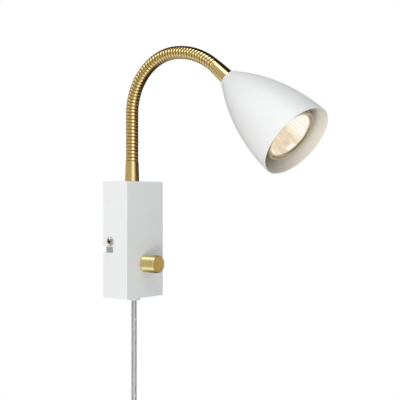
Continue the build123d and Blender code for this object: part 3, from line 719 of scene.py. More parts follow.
def hoseTree(guide, look):
    number, whole = "NodeSocketFloat", "NodeSocketInt"
    tree = Tree("woundHose", {"Start": number, "End": number, "Rings": whole, "Around": whole,
                              "Crest": number, "Depth": number, "Bore": number, "Pitch": number})
    line = tree.node("GeometryNodeObjectInfo", {"transform_space": "ORIGINAL"}, {"Object": guide}, "Geometry")
    index = tree.node("GeometryNodeInputIndex")
    columns = tree.get("Around") + 1
    row = ((index + 0.5) / columns).maths("FLOOR")
    angle = (index - row * columns) / tree.get("Around") * math.tau

    def wall(rows, inner):
        # a sheet of rows by columns, wrapped round the guide
        # the outer sheet turns in to the bore at its ends
        sheet = tree.node("GeometryNodeMeshGrid", None, {"Vertices X": rows, "Vertices Y": columns})
        last = rows - 1
        along = row / last
        if not inner:
            along = ((row - 1) / (last - 2)).maths("MINIMUM", 1.0).maths("MAXIMUM", 0.0)
        reach = tree.get("Start") + along * (tree.get("End") - tree.get("Start"))
        radius, groove = tree.get("Bore"), 1.0
        if not inner:
            turn = (reach / tree.get("Pitch")).maths("FRACT") * 2 - 1
            groove = turn * turn  # round ribs with a sharp line between them
            ribbed = tree.get("Crest") - tree.get("Depth") * groove
            atEnd = row.maths("LESS_THAN", 0.5) + row.maths("GREATER_THAN", last - 0.5)
            radius = ribbed + atEnd * (tree.get("Bore") - ribbed)
        point, ahead = tree.node("GeometryNodeSampleCurve", {"mode": "LENGTH", "use_all_curves": True},
                                 {"Curves": line, "Length": reach}, ["Position", "Tangent"])
        up = tree.vector("CROSS_PRODUCT", ahead, (1.0, 0.0, 0.0))
        sideways = tree.node("ShaderNodeCombineXYZ", None, {"X": radius * angle.maths("COSINE")})
        upwards = tree.node("ShaderNodeVectorMath", {"operation": "SCALE"},
                            {0: up, "Scale": radius * angle.maths("SINE")})
        place = tree.vector("ADD", point, tree.vector("ADD", sideways, upwards))
        marked = tree.node("GeometryNodeStoreNamedAttribute", {"data_type": "FLOAT", "domain": "POINT"},
                           {"Geometry": sheet, "Name": "groove", "Value": groove})
        return tree.node("GeometryNodeSetPosition", None, {"Geometry": marked, "Position": place})

    outer = tree.node("GeometryNodeFlipFaces", None, {"Mesh": wall(tree.get("Rings") + 2, False)})
    both = tree.node("GeometryNodeJoinGeometry", None, {0: [outer, wall(look["boreRows"], True)]})
    welded = tree.node("GeometryNodeMergeByDistance", None, {"Geometry": both, "Distance": look["weld"]})
    tree.finish(welded, finishes["neckBrass"])
    return tree


def addNeck(look):
    joints = [look["firstJoint"] + n * look["jointStep"] for n in range(look["links"] + 1)]
    middles = [(a + b) / 2 for a, b in zip(joints, joints[1:])]
    cuts = [look["start"], *middles, joints[-1] + look["end"] + look["tuck"]]
    guide = neckGuide(joints[-1] + look["guideExtra"], look)
    tree = hoseTree(guide, look)
    for n, joint in enumerate(joints):
        low, high = cuts[n], cuts[n + 1]
        rings = int((high - low) / look["pitch"] * look["ringsPerRib"])
        values = {"Start": low * mm, "End": high * mm, "Rings": rings, "Around": look["around"]}
        for title in ("Crest", "Depth", "Bore", "Pitch"):
            values[title] = look[title.lower()] * mm
        piece = meshObject(f"neckHose{n + 1}", tree.mesh(values), finishes["neckBrass"], look["sharp"])
        first = joint - look["endHalf" if n == 0 else "bendHalf"]
        last = joint + look["endHalf" if n == look["links"] else "bendHalf"]
        neckPlace(last)[0] * mm
        neckPlace(first)[0] * mm
        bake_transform(piece)
        if n < look["links"]:
            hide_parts(f"neck_link_{n + 1}")
    bpy.data.objects.remove(guide)
    print("neck:", len(joints), "lengths of hose")


addNeck(neckLook)


# wall box: folded sheet with an open back, its holes, and a notch at the wall under each screw
boxLook = {
    "half": 25.5, "deep": 31.2, "tall": 55.4, "wall": 1.2, "edge": 0.55, "past": 5, "drill": 3, "round": 64,
    "neckHole": (5.25, -13.8), "cordHole": (4.75, -16.4), "knobHole": (5.0, -23.0),
    "screwHole": (2.25, -10.2, -1.7), "notchReach": 13.1, "notchLevel": -9.4, "notchHeight": 5.6,
}


def addBox(look):
    half, deep, tall, wall = look["half"], look["deep"], look["tall"], look["wall"]
    reach, past = look["drill"], look["past"]
    shell = block((-half, -deep, -tall), (half, 0, tall), look["edge"])
    tools = [block((wall - half, wall - deep, wall - tall), (half - wall, past, tall - wall))]

    def drill(radius, place, axis):
        pin = [(0, -reach), (radius, -reach), (radius, reach), (0, reach)]
        tools.append(lathe(pin, placed(place, axis, 90), look["round"]))

    drill(look["neckHole"][0], (0, look["neckHole"][1], tall), "Z")
    drill(look["cordHole"][0], (0, look["cordHole"][1], -tall), "Z")
    drill(look["knobHole"][0], (0, -deep, look["knobHole"][1]), "X")
    low, high = (look["notchLevel"] + side * look["notchHeight"] / 2 for side in (-1, 1))
    for side in (-half, half):
        drill(look["screwHole"][0], (side, *look["screwHole"][1:]), "Y")
        tools.append(block((side - reach, -look["notchReach"], low), (side + reach, past, high)))
    addPiece("wallBox", cutAway(shell, tools), "boxWhite", "wall_box", "white_paint", "cover_box")
    print("box: folded, drilled and notched")


addBox(boxLook)


# ferrules: turned cones with a broken edge at each end
ferruleLook = {
    "length": 19.8, "wide": 6.9, "wideEdge": 0.2, "narrow": 6.2, "edge": 0.4, "bore": 2.3, "stem": 5.0,
    "lowStem": -8.2, "highStem": 32.8, "socket": 4.6, "socketDepth": 4, "spigot": 4.4, "spigotEnd": -1.2,
    "sharp": 40,
}


def addFerrules(look):
    length, edge, bore, stem = look["length"], look["edge"], look["bore"], look["stem"]
    foot, tip, start = look["lowStem"], look["highStem"], look["spigotEnd"]
    floor = length - look["socketDepth"]
    socket, spigot, wide, narrow, wideEdge = (
        look[key] for key in ("socket", "spigot", "wide", "narrow", "wideEdge"))
    low = [(bore, foot, 0), (stem, foot, edge), (stem, 0, 0), (wide, 0, wideEdge), (narrow, length, edge),
           (socket, length, 0), (socket, floor, 0), (bore, floor, 0)]
    high = [(bore, start, 0), (spigot, start, 0), (spigot, 0, 0), (narrow, 0, edge), (wide, length, wideEdge),
            (stem, length, 0), (stem, tip, edge), (bore, tip, 0)]
    addPiece("lowerFerrule", turnedRing(low, topTurn), "lowFerruleBrass", "wall_box", "satin_brass",
             "lower_ferrule", sharp=look["sharp"])
    addPiece("upperFerrule", turnedRing(high, headTurn), "highFerruleBrass", "head", "satin_brass",
             "upper_ferrule", sharp=look["sharp"])
    print("ferrules: lower and upper")


addFerrules(ferruleLook)


# shade: spun sheet, a flat crown, one long curve and a plain rim
shadeLook = {
    "crown": 19.8, "flat": 8.0, "hole": 5.25, "shoulder": (10.0, 22.0), "belly": (26.9, 60.9),
    "mouth": (34.5, 110.7), "wall": 1.0, "turnSteps": 8, "turnPower": 0.9, "rimSteps": 8, "steps": 40,
    "segments": 144, "sharp": 50,
}


def addShade(look):
    half, (mouth, end) = look["wall"] / 2, look["mouth"]

    def skin(inset):
        shoulder, belly, rim = ((r - inset, h) for r, h in (look["shoulder"], look["belly"], look["mouth"]))
        crown = (look["flat"] - inset, look["crown"] + inset)
        turn = []
        for k in range(1, look["turnSteps"]):  # eases from the flat crown into the side
            t = k / look["turnSteps"] * math.pi / 2
            turn.append((crown[0] + (shoulder[0] - crown[0]) * math.sin(t) ** look["turnPower"],
                         crown[1] + (shoulder[1] - crown[1]) * (1 - math.cos(t))))
        return [(look["hole"], crown[1]), crown] + turn + arcThrough(shoulder, belly, rim, look["steps"])

    outside, inside = skin(0), skin(look["wall"])
    turns = [math.pi * k / look["rimSteps"] for k in range(look["rimSteps"] + 1)]
    lip = [(mouth - half + half * math.cos(t), end - half + half * math.sin(t)) for t in turns]
    outline = outside[:-1] + lip + list(reversed(inside[:-1]))
    shell = lathe(outline, headTurn, look["segments"], closed=True)
    outerFaces = (len(outside) + len(lip) // 2) * look["segments"]
    # outer faces take the white paint, inner faces the paint with painted bulb light
    for face in shell.polygons:
        face.material_index = int(face.index >= outerFaces)
    addPiece("shadeShell", shell, ("shadeWhite", "shadeInside"), "head", "white_paint", "shade",
             sharp=look["sharp"])
    print("shade: one shell")


addShade(shadeLook)


# bulb: glass reflector with a band, a fluted silver bowl, a clear front and a glowing burner
bulbLook = {
    "front": 104.2, "radius": 25.0, "band": 4.6, "waist": (20.4, 87.2), "neck": (10.5, 69.7),
    "rimEdges": (0.7, 0.9), "glassInset": (0.2, 1.0, 1.5), "lipGap": 0.1, "sideSteps": 24,
    "lensRadius": 22.8, "lensFront": 103.0, "lensDome": 0.9, "lensBack": 99.8, "lensEdge": 0.3,
    "domeSteps": 10, "domeMiddle": (0.7, 0.51),
    "flutes": 36, "fluteDepth": 0.25, "flutePoints": 6, "rings": 20, "bowlWall": 0.2,
    "bowlInset": (0.5, 1.6, 4.0), "bowlFoot": 1.0,
    "burner": [(0, 0, 0), (4.5, 0, 0.5), (4.5, 15, 2.5), (1.6, 18.5, 0.6), (0, 20, 0)], "burnerSides": 40,
}
glassLook = {
    "cloud": 80, "colours": ((176, 168, 150), (156, 148, 130)), "metal": 0.2, "rough": 0.2, "cloudRough": 0.1,
    "grain": 700, "depth": 0.00002, "bandFade": 1.5, "bandGlow": 0.6, "dark": (18, 12, 6),
    "stops": ((0.0, (150, 134, 104)), (0.16, (92, 80, 58)), (0.30, (104, 92, 68)), (0.46, (176, 160, 126)),
              (0.62, (150, 136, 106)), (0.76, (70, 60, 42)), (0.96, (50, 42, 28))),
}
bowlLook = {
    "streaks": 8.0, "streaked": (0.36, 0.66), "upper": (-0.45, 0.25), "patches": 70, "patched": (0.35, 0.62),
    "sparkles": 260, "glintSide": (-0.60, 0.511, -0.615), "glintWide": (0.970, 1.0),
    "glintDeep": (0.89, 0.98),
    "base": 0.02, "white": 0.38, "rise": 0.22, "streak": 0.06, "whiteStreak": 0.12, "patchStreak": 0.16,
    "patch": 0.10, "sparkle": 0.6, "sparkleDim": 0.7, "glint": 0.6,
    "colours": ((64, 58, 50), (86, 80, 70)), "rough": 0.25, "sparkleRough": 0.12, "glow": 0.97,
    "stops": ((0.0, (214, 194, 168)), (0.42, (241, 225, 200)), (0.85, (255, 255, 252))),
}
burnerLook = {"colour": (255, 244, 224), "glows": ((255, 250, 240), (255, 244, 226)), "cloud": 500,
              "rough": 0.3, "cloudRough": 0.1, "glow": 0.8}
lensLook = {"colours": ((253, 252, 248), (248, 246, 240)), "edge": (20.6, 21.6), "edgeShadeTint": (170, 164, 147),
            "ripple": 260, "rough": 0.02, "rippleRough": 0.03, "index": 1.2, "depth": 0.00004}


def reflectorGlass(look, bulb):
    # silvered glass; light leaks out through its clear band, and the glow across the front ring is painted in
    # dark and light rings
    paint = Paint("reflectorGlass")
    cloud = paint.noise(look["cloud"], 2)
    bandFoot = bulb["front"] - bulb["band"]
    high = paint.along(headFoot, headAxis).step((bandFoot - look["bandFade"]) * mm, bandFoot * mm)
    away = paint.awayFrom(headFoot, headAxis)
    inner, width = bulb["lensRadius"] - bulb["lipGap"], bulb["radius"] - bulb["lensRadius"] + bulb["lipGap"]
    # painted shade and light across the front ring
    front = paint.ramp((away - inner * mm) / (width * mm), look["stops"])
    return paint.finish({
        "Base Color": paint.tones(cloud, *look["colours"]),
        "Metallic": look["metal"],
        "Roughness": look["rough"] + cloud * look["cloudRough"],
        "Normal": paint.bump(paint.noise(look["grain"], 2), look["depth"]),
        "Emission Color": paint.mix(high, tone(*look["dark"]), front),
        "Emission Strength": look["bandGlow"],
    })


def bowlMirror(look, bulb):
    # painted reflections of the burner: bright streaks run from it to the front, painted whiter on the upper
    # side, with painted sparkles
    paint = Paint("bowlMirror")
    spoke = paint.vector("NORMALIZE", paint.spoke(headFoot, headAxis))
    streak = paint.noise(look["streaks"], 3, spoke).step(*look["streaked"])
    rise = paint.along(headFoot, headAxis).step(bulb["neck"][1] * mm, bulb["lensBack"] * mm)
    sparkle = paint.noise(look["sparkles"], 3)
    # painted light: the upper side glows whiter
    white = paint.dot(spoke, (1, 0, 0)).step(*look["upper"])
    patch = paint.noise(look["patches"], 2).step(*look["patched"])
    # painted glint: the burner's reflection low in the bowl
    glint = paint.dot(spoke, look["glintSide"]).step(*look["glintWide"]) * rise.step(*look["glintDeep"])
    streaking = look["streak"] + look["whiteStreak"] * white + look["patchStreak"] * patch
    sparkling = look["sparkle"] * (1 - look["sparkleDim"] * white) * (sparkle - 0.5)
    glow = (look["base"] + look["white"] * white + look["rise"] * rise + streaking * streak
            + look["patch"] * patch + sparkling + look["glint"] * glint)
    return paint.finish({
        "Base Color": paint.tones(streak, *look["colours"]),
        "Roughness": look["rough"] + sparkle * look["sparkleRough"],
        "Emission Color": paint.ramp(glow, look["stops"]),
        "Emission Strength": look["glow"],
    })


def burnerGlass(look):
    paint = Paint("burnerGlass")
    cloud = paint.noise(look["cloud"], 2)
    return paint.finish({
        "Base Color": tone(*look["colour"]),
        "Roughness": look["rough"] + cloud * look["cloudRough"],
        "Emission Color": paint.tones(cloud, *look["glows"]),
        "Emission Strength": look["glow"],
    })


def lensGlass(look):
    # clear, darker towards its edge: painted shade where the lens meets the ring
    paint = Paint("lensGlass")
    ripple = paint.noise(look["ripple"], 2)
    low, high = look["edge"]
    edge = paint.awayFrom(headFoot, headAxis).step(low * mm, high * mm)
    return paint.finish({
        "Base Color": paint.mix(edge, paint.tones(ripple, *look["colours"]), tone(*look["edgeShadeTint"])),
        "Roughness": look["rough"] + ripple * look["rippleRough"],
        "IOR": look["index"],
        "Transmission Weight": 1.0,
        "Normal": paint.bump(ripple, look["depth"]),
    })


def flutedBowl(look):
    atLens, atWaist, atNeck = look["bowlInset"]
    (waist, waistLevel), (neck, neckLevel) = look["waist"], look["neck"]
    outline = arcThrough((look["lensRadius"] - atLens, look["lensBack"]), (waist - atWaist, waistLevel),
                         (neck - atNeck, neckLevel + look["bowlFoot"]), look["rings"])
    outline += [(r + look["bowlWall"], h) for r, h in reversed(outline)]
    mesh = lathe(outline, Matrix.Identity(4), look["flutes"] * look["flutePoints"], closed=True)
    for v in mesh.vertices:
        wave = 0.5 + 0.5 * math.cos(look["flutes"] * math.atan2(v.co.y, v.co.x))
        swell = 1 - look["fluteDepth"] * mm / v.co.xy.length * wave
        v.co.x, v.co.y = v.co.x * swell, v.co.y * swell
    mesh.transform(headTurn)
    return mesh


def bulbShell(look):
    r, front, foot = look["radius"], look["front"], look["front"] - look["band"]
    atLens, atWaist, atNeck = look["glassInset"]
    (waist, waistLevel), (neck, neckLevel) = look["waist"], look["neck"]
    lip, back = look["lensRadius"] + look["lipGap"], look["lensBack"] - atLens
    lipEdge, rimEdge = look["rimEdges"]
    rim = rounded([(lip, back, 0), (lip, front, lipEdge), (r, front, rimEdge), (r, foot, 0)])
    side = arcThrough((r, foot), look["waist"], look["neck"], look["sideSteps"])
    inner = arcThrough((look["lensRadius"] - atLens, back), (waist - atWaist, waistLevel),
                       (neck - atNeck, neckLevel), look["sideSteps"])
    return lathe([tuple(p) for p in rim[:-1]] + side + list(reversed(inner)), headTurn, closed=True)


def bulbFront(look):
    radius, edge, front, back = look["lensRadius"], look["lensEdge"], look["lensFront"], look["lensBack"]
    out, up = look["domeMiddle"]
    shoulder = radius - edge
    dome = arcThrough((shoulder, front), (shoulder * out, front + look["lensDome"] * up),
                      (0, front + look["lensDome"]), look["domeSteps"])
    side = [(0, back), (shoulder, back), (radius, back + edge), (radius, front - edge)]
    return lathe(side + dome, headTurn)


def addBulb(look):
    addPiece("bulbReflector", bulbShell(look), reflectorGlass(glassLook, look), "bulb", "reflector",
             "bulb_reflector", sharp=45)
    addPiece("bulbBowl", flutedBowl(look), bowlMirror(bowlLook, look), "bulb", "reflector", sharp=60)
    addPiece("bulbLens", bulbFront(look), lensGlass(lensLook), "bulb", "lens_glass", "bulb_lens", sharp=50)
    capsule = rounded([(r, look["neck"][1] + h, corner) for r, h, corner in look["burner"]], steps=6)
    addPiece("bulbBurner", lathe(capsule, headTurn, look["burnerSides"]), burnerGlass(burnerLook), "bulb",
             "burner_glass", "bulb_burner", sharp=60)
    print("bulb: reflector, bowl, front and burner")


addBulb(bulbLook)


# knob: turned bar with a crisp edge and a set screw hole underneath
knobLook = {
    "radius": 8.3, "back": 0.6, "front": 17.2, "edge": 0.6, "footEdge": 0.3, "recess": 7.33,
    "recessDepth": 3.5, "bushRoom": 5.15, "bushDepth": 4.5, "shaft": 3.05, "shaftDepth": 14.2,
    "groovePitch": 0.4, "grooveDepth": 0.09, "grub": 1.55, "grubPlace": 10.6, "grubReach": 12,
    "grubSides": 32, "segments": 112, "sharp": 30,
}


def addKnob(look):
    radius, back, sides = look["radius"], look["back"], look["grubSides"]
    top, foot = look["front"] - look["edge"], back + look["footEdge"]
    face = rounded([(0, look["front"], 0), (radius, look["front"], look["edge"]), (radius, foot, 0)])[:-1]
    count = round((top - foot) / look["groovePitch"]) * 2
    grooves = [(radius - look["grooveDepth"] * (k % 2), top + (foot - top) * k / count)
               for k in range(1, count)]
    rest = [(radius, foot), (radius - look["footEdge"], back), (look["recess"], back)]
    for outer, inner, depth in (("recess", "bushRoom", "recessDepth"), ("bushRoom", "shaft", "bushDepth")):
        rest += [(look[outer], look[depth]), (look[inner], look[depth])]
    rest += [(look["shaft"], look["shaftDepth"]), (0, look["shaftDepth"])]
    body = lathe([tuple(p) for p in face] + grooves + rest, Matrix.Identity(4), look["segments"])
    pin = [(0, 0), (look["grub"], 0), (look["grub"], look["grubReach"]), (0, look["grubReach"])]
    halfStep = Matrix.Rotation(math.pi / sides, 4, "Z")  # so that no edges of hole and knob coincide
    hole = lathe(pin, placed((0, 0, look["grubPlace"]), "X", 90) @ halfStep, sides)
    mesh = cutAway(body, [hole])
    mesh.transform(knobTurn)
    addPiece("dimmerKnob", mesh, "knobBrass", "knob", "satin_brass", "knob", sharp=look["sharp"])
    print("knob: turned, with its set screw hole")


addKnob(knobLook)


# screws at the sides of the box: domed heads with a cross recess
screwLook = {
    "head": 4.3, "height": 2.4, "shank": 2.0, "length": 7.0, "crown": (2.2, 1.6), "brow": (0.55, 0.9),
    "seatEdge": 0.15, "tipEdge": 0.4, "cross": 5.0, "crossWidth": 1.3, "crossDepth": 1.9, "crossOver": 0.6,
    "crossTaper": 0.5, "crossTurn": 12, "recessTop": 0.3, "place": (25.5, -10.2, -1.7), "segments": 48,
}


def crossArm(look, turn):
    # one arm of the recess, narrower at its foot
    long, wide, height = look["cross"] / 2, look["crossWidth"] / 2, look["height"]
    tool = block((-long, -wide, height - look["crossDepth"]), (long, wide, height + look["crossOver"]))
    for v in tool.vertices:
        v.co.x *= 1.0 if v.co.z > height * mm else look["crossTaper"]
    tool.transform(Matrix.Rotation(math.radians(turn), 4, "Z"))
    return tool


def addScrews(look):
    head, height, shank, tip = look["head"], look["height"], look["shank"], -look["length"]
    (crown, crownEdge), (brow, browEdge) = look["crown"], look["brow"]
    dome = rounded([(0, height, 0), (crown, height, crownEdge), (head, height * brow, browEdge),
                    (head, 0, look["seatEdge"]), (shank, 0, 0), (shank, tip, look["tipEdge"]),
                    (0, tip, 0)], steps=6)
    half, out, level = look["place"]
    screws = []
    for side in (-1, 1):
        screw = lathe(dome, Matrix.Identity(4), look["segments"])
        for turn in (look["crossTurn"], look["crossTurn"] + 90):
            screw = cutAway(screw, [crossArm(look, turn)])
        # faces inside the cross recess take the painted shade
        for face in screw.polygons:
            near = face.center.xy.length < look["cross"] / 2 * mm
            face.material_index = int(near and 0 < face.center.z < (height - look["recessTop"]) * mm)
        screw.transform(placed((side * half, out, level), "Y", 90 * side))
        screws.append(screw)
    addPiece("coverScrews", merged("screws", screws), ("nickelSteel", "recessSteel"), "wall_box",
             "screw_steel", "cover_screws")
    print("screws: two, with a cross recess")


addScrews(screwLook)


# bushing where the cord leaves the box
bushingLook = {
    "flange": 6.2, "flangeEdge": 0.2, "end": 5.9, "endEdge": 0.7, "height": 3.4, "sleeve": 4.5,
    "sleeveEdge": 0.3, "top": -6.2, "bore": 2.75, "boreEdge": 0.4, "segments": 64, "sharp": 40,
}


def addBushing(look):
    bore, sleeve, top, height = look["bore"], look["sleeve"], look["top"], look["height"]
    outline = [(bore, top, 0), (sleeve, top, look["sleeveEdge"]), (sleeve, 0, 0),
               (look["flange"], 0, look["flangeEdge"]), (look["end"], height, look["endEdge"]),
               (bore, height, look["boreEdge"])]
    addPiece("cordBushing", turnedRing(outline, bushingTurn, look["segments"]), "whitePlastic", "wall_box",
             "white_plastic", "cord_bushing", sharp=look["sharp"])
    print("bushing: one")


addBushing(bushingLook)


# flat plug with finger grips and a ribbed relief
plugLook = {
    "length": 34.0, "width": 35.3, "neck": 15.0, "thickness": 13.7, "face": 12.0, "edge": 2.2, "sharp": 40,
    "relief": 20.0, "reliefRadius": 3.6, "ribs": 9, "ribShare": 0.62, "ribInset": 0.6, "ribSwell": 1.4,
    "ribFlare": 0.1, "ribDip": 0.7, "ribSlope": 0.15, "ribGap": 0.1, "tuck": 3, "tuckInset": (0.5, 0.8),
    "reliefSides": 48, "grips": 4, "gripRadius": 0.8, "gripHalf": 8, "gripOut": 0.25, "gripFrom": 12,
    "gripStep": 3, "gripSides": 12, "pin": 2.0, "pinLength": 19.0, "apart": 18.6, "pinFoot": -0.5,
    "pinStep": 0.25, "pinEdge": 0.1, "tipEdge": 1.2, "sleeve": 10.0, "sleeveWall": 0.2, "sleeveFoot": -0.4,
    "sleeveGap": 0.02, "pinSides": 32,
}


def plugBlock(look):
    start, half, side = look["relief"], look["thickness"] / 2, look["width"] / 2
    end = start + look["length"]
    outline = [(look["neck"] / 2, start), (side, end - look["face"]), (side, end)]
    outline = outline + [(-x, z) for x, z in reversed(outline)]
    bm = bmesh.new()
    front = [bm.verts.new((x * mm, half * mm, z * mm)) for x, z in outline]
    back = [bm.verts.new((x * mm, -half * mm, z * mm)) for x, z in outline]
    bm.faces.new(front)
    bm.faces.new(list(reversed(back)))
    for k in range(len(outline)):
        j = (k + 1) % len(outline)
        bm.faces.new((front[j], front[k], back[k], back[j]))
    bmesh.ops.recalc_face_normals(bm, faces=bm.faces)
    bmesh.ops.bevel(bm, geom=bm.edges[:], offset=look["edge"] * mm, segments=4, profile=0.6, affect="EDGES")
    reach, radius = look["gripHalf"], look["gripRadius"]
    bar = [(0, -reach), (radius, -reach), (radius, reach), (0, reach)]
    grips = []
    for out in (-half - look["gripOut"], half + look["gripOut"]):
        for k in range(look["grips"]):
            level = start + look["gripFrom"] + look["gripStep"] * k
            grips.append(lathe(bar, placed((0, out, level), "Y", 90), look["gripSides"]))
    return cutAway(toMesh(bm, "plug"), grips)


def plugRelief(look):
    # the relief swells rib by rib into the plug
    length, small, half, count = look["relief"], look["reliefRadius"], look["thickness"] / 2, look["ribs"]
    spots = [(0, 0)]
    for k in range(count):
        low, high, end = (share / count * length for share in (k, k + look["ribShare"], k + 1))
        size = small + (half - look["ribInset"] - small) * (k / count) ** look["ribSwell"]
        dip = size - look["ribDip"]
        spots += [(size, low), (size + look["ribFlare"], high), (dip, high + look["ribSlope"]),
                  (dip, end - look["ribGap"])]
    first, last = look["tuckInset"]
    inside = length + look["tuck"]
    spots += [(half - first, length), (half - last, inside), (0, inside)]
    return lathe(spots, Matrix.Identity(4), look["reliefSides"])


def addPlug(look):
    turn = Matrix.Translation(cordEnd) @ Matrix(((0, 1, 0, 0), (1, 0, 0, 0), (0, 0, -1, 0), (0, 0, 0, 1)))
    both = merged("plugBody", (plugBlock(look), plugRelief(look)))
    both.transform(turn)
    plug = addPiece("plugBody", both, "plugPlastic", "wall_box", "plug_plastic", "plug_body",
                    sharp=look["sharp"])
    pin, thin, length, sleeve = look["pin"], look["pin"] - look["pinStep"], look["pinLength"], look["sleeve"]
    tip = rounded([(thin, look["pinFoot"], 0), (thin, sleeve, 0), (pin, sleeve, look["pinEdge"]),
                   (pin, length, look["tipEdge"]), (0, length, 0)], steps=5)
    tip = [(0, look["pinFoot"])] + [tuple(p) for p in tip]
    inner, foot, end = pin - look["sleeveWall"], look["sleeveFoot"], sleeve - look["sleeveGap"]
    tube = [(inner, foot), (pin, foot), (pin, end), (inner, end)]
    pins, sleeves = [], []
    for side in (-1, 1):
        place = turn @ placed((side * look["apart"] / 2, 0, look["relief"] + look["length"]))
        pins.append(lathe(tip, place, look["pinSides"]))
        sleeves.append(lathe(tube, place, look["pinSides"], closed=True))
    pinPiece = addPiece("plugPins", merged("plugPins", pins), "nickelSteel", "wall_box", "screw_steel",
                        "plug_pins")
    sleevePiece = addPiece("plugPinSleeves", merged("plugSleeves", sleeves), "blackPlastic", "wall_box",
                           "black_plastic")
    print("plug: body, pins and sleeves")
    return [plug, pinPiece, sleevePiece]


plugPieces = addPlug(plugLook)


# solids that keep their own shape, with the finish of each
plainNodes = {
    "zincPlate": ["wall_bracket", "holder_strap", "neck_washer", "neck_nut", "shade_washer", "shade_nut",
                  "strap_nut", "dimmer_washer", "dimmer_nut", "holder_screws", "knob_grub_screw"],
    "nickelSteel": ["bulb_pins", "dimmer_shaft"],
    "plainBrass": ["holder_contacts", "terminal_screws"],
    "ceramicWhite": ["bulb_holder", "bulb_base"],
    "blackPlastic": ["dimmer_body", "dimmer_triac"],
    "whitePlastic": ["terminal_block", "bushing_nut", "coil_tie"],
    "boardLaminate": ["dimmer_board"],
    "copperWire": ["dimmer_choke"],
    "capacitorBody": ["dimmer_capacitor"],
    "sleeveWhite": ["box_lead_sleeve", "head_lead_sleeve"] + [f"neck_lead_{n}" for n in range(1, 9)],
    "coreBrown": ["box_leads", "head_leads"],
}


def dressNodes(plan):
    for finish, names in plan.items():
        for name in names:
            nodes[name].data.materials.clear()
            nodes[name].data.materials.append(finishes[finish])
    print("solids dressed:", sum(len(names) for names in plan.values()))


dressNodes(plainNodes)


# studio: pale floor below, three soft lamps, white all round, and cards that only metal and gloss reflect
studioLook = {
    "fill": (0.433, 0.442, 0.452, 1), "middle": (0, -0.08), "floorLevel": -0.42, "floorRadius": 0.5,
    "floorSides": 96, "floorColours": ((238, 238, 236), (233, 233, 231)), "floorGrain": 30, "floorRough": 0.7,
    "grainRough": 0.1, "drumRadius": 0.9, "drumLevel": (-0.42, 0.95), "drumSteps": 12,
}
lamps = {
    "softAbove": {"place": (-0.45, -0.3, 1.1), "aim": (0, -0.08, 0.05), "size": (0.75, 1.1), "power": 5.6},
    "softLow": {"place": (-0.91, -0.73, -0.65), "aim": (0, -0.08, 0.0), "size": (0.8, 0.8), "power": 6.6},
    "softLeft": {"place": (-1.15, -0.42, -0.22), "aim": (0, -0.1, 0.03), "size": (0.7, 0.9), "power": 3.5,
                 "colour": (1.0, 0.98, 0.92)},
}
# each card is part of an upright drum round the lamp, in degrees to the right of the camera
cards = {
    "cardLeft": {"turn": (-140, -8), "glow": (0.52, 0.48, 0.40)},
    "cardCamera": {"turn": (4, 36), "glow": (1.4, 1.4, 1.4)},
    "cardNear": {"turn": (42, 64), "glow": (0.52, 0.43, 0.30)},
    "cardEdge": {"turn": (64, 80), "glow": (0.20, 0.14, 0.07)},
    "cardRight": {"turn": (80, 212), "glow": (0.06, 0.035, 0.012)},
    "cardKnob": {"turn": (88, 116), "level": (-0.16, 0.05), "glow": (0.76, 0.60, 0.36), "radius": 0.88},
    "cardStrip": {"turn": (-99, -77), "level": (0.38, 0.88), "glow": (2.4, 2.4, 2.4), "radius": 0.88},
    "cardBehindLow": {"turn": (-138, -98), "level": (-0.40, -0.06), "glow": (1.15, 1.08, 0.92),
                      "radius": 0.88},
}
# and each of these lies level, above or below it
lids = {
    "cardAbove": {"low": (-0.12, -0.5), "high": (1.5, 1.2), "level": 0.95, "glow": (0.03, 0.02, 0.01)},
    "cardOver": {"low": (-0.60, -0.5), "high": (-0.12, 0.25), "level": 0.96, "glow": (2.4, 2.4, 2.4)},
    "cardOverBack": {"low": (-1.0, 0.25), "high": (-0.12, 1.2), "level": 0.96, "glow": (0.30, 0.27, 0.22)},
    "cardAboveFront": {"low": (-0.9, -1.4), "high": (0.6, -0.5), "level": 0.94, "glow": (0.3, 0.28, 0.25)},
    "cardOverKnob": {"low": (-1.0, -0.5), "high": (-0.62, -0.05), "level": 0.955, "glow": (0.85, 0.85, 0.85)},
    "cardBelow": {"low": (-1.0, -0.45), "high": (0.0, 0.3), "level": -0.41, "glow": (0.45, 0.42, 0.36)},
    "cardBelowFront": {"low": (-1.0, -1.1), "high": (0.0, -0.45), "level": -0.41, "glow": (0.95, 0.92, 0.86)},
    "cardBelowRight": {"low": (0.0, -1.1), "high": (1.0, 0.3), "level": -0.41, "glow": (0.06, 0.04, 0.02)},
    "cardLow": {"low": (-0.5, -0.45), "high": (-0.15, 0.1), "level": -0.40, "glow": (1.35, 1.35, 1.35)},
}


def addStage(name, corners, faces, finish):
    mesh = bpy.data.meshes.new(name)
    mesh.from_pydata(corners, [], faces)
    obj = meshObject(name, mesh, finish)
    return obj


def addCard(name, corners, faces, glow):
    card = addStage(name, corners, faces, Paint(name).finish({
        "Base Color": (0, 0, 0, 1), "Specular IOR Level": 0, "Emission Color": (*glow, 1),
        "Emission Strength": 1}))
    for ray in ("camera", "diffuse", "shadow", "transmission", "volume_scatter"):
        setattr(card, "visible_" + ray, False)


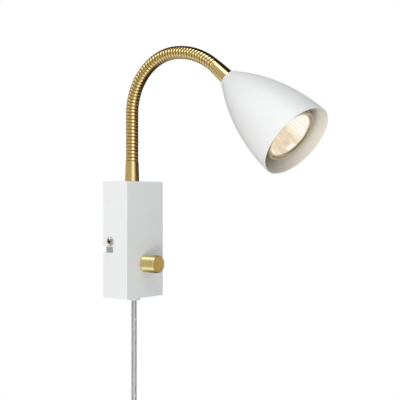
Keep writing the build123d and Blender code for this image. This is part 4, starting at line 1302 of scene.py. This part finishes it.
def addSky(look):
    # white to the camera, in gloss and through glass, and a dimmer fill for the rest
    world = bpy.data.worlds.new("studio")
    bpy.context.scene.world = world
    world.use_nodes = True
    world.node_tree.nodes.clear()
    sky = Graph(world.node_tree)
    rays = ["Is Camera Ray", "Is Glossy Ray", "Is Transmission Ray"]
    seen, glossy, through = sky.node("ShaderNodeLightPath", out=rays)
    white = seen.maths("MAXIMUM", glossy).maths("MAXIMUM", through)
    colour = sky.mix(white, look["fill"], (1, 1, 1, 1))
    light = sky.node("ShaderNodeBackground", None, {"Color": colour, "Strength": 1})
    sky.node("ShaderNodeOutputWorld", None, {"Surface": light})


def addFloor(look):
    (x, y), radius, sides = look["middle"], look["floorRadius"], look["floorSides"]
    paint = Paint("paleFloor")
    grain = paint.noise(look["floorGrain"], 3)
    turns = [math.tau * k / sides for k in range(sides)]
    corners = [(x + radius * math.cos(t), y + radius * math.sin(t), look["floorLevel"]) for t in turns]
    addStage("floor", corners, [list(range(sides))], paint.finish({
        "Base Color": paint.tones(grain, *look["floorColours"]),
        "Roughness": look["floorRough"] + grain * look["grainRough"]}))


def addLamp(name, lamp):
    data = bpy.data.lights.new(name, "AREA")
    data.shape = "RECTANGLE"
    data.size, data.size_y = lamp["size"]
    data.energy = lamp["power"]
    data.color = lamp.get("colour", (1, 1, 1))
    obj = linked(name, data)
    back = Vector(lamp["place"]) - Vector(lamp["aim"])
    obj.matrix_world = Matrix.Translation(lamp["place"]) @ back.to_track_quat("Z", "Y").to_matrix().to_4x4()
    obj.visible_glossy = False  # the cards stand for it there


def addStudio(look):
    addSky(look)
    addFloor(look)
    for name, lamp in lamps.items():
        addLamp(name, lamp)
    (x, y), steps = look["middle"], look["drumSteps"]
    strips = [(2 * k, 2 * k + 2, 2 * k + 3, 2 * k + 1) for k in range(steps)]
    for name, card in cards.items():
        first, last = card["turn"]
        away, levels = card.get("radius", look["drumRadius"]), card.get("level", look["drumLevel"])
        corners = []
        for k in range(steps + 1):
            turn = math.radians(270 - cameraLook["turn"] + first + (last - first) * k / steps)
            corners += [(x + away * math.cos(turn), y + away * math.sin(turn), level) for level in levels]
        addCard(name, corners, strips, card["glow"])
    for name, lid in lids.items():
        (x0, y0), (x1, y1), z = lid["low"], lid["high"], lid["level"]
        addCard(name, [(x0, y0, z), (x1, y0, z), (x1, y1, z), (x0, y1, z)], [(0, 3, 2, 1)], lid["glow"])
    print("studio:", len(lamps), "lamps and", len(cards) + len(lids), "cards")


addStudio(studioLook)
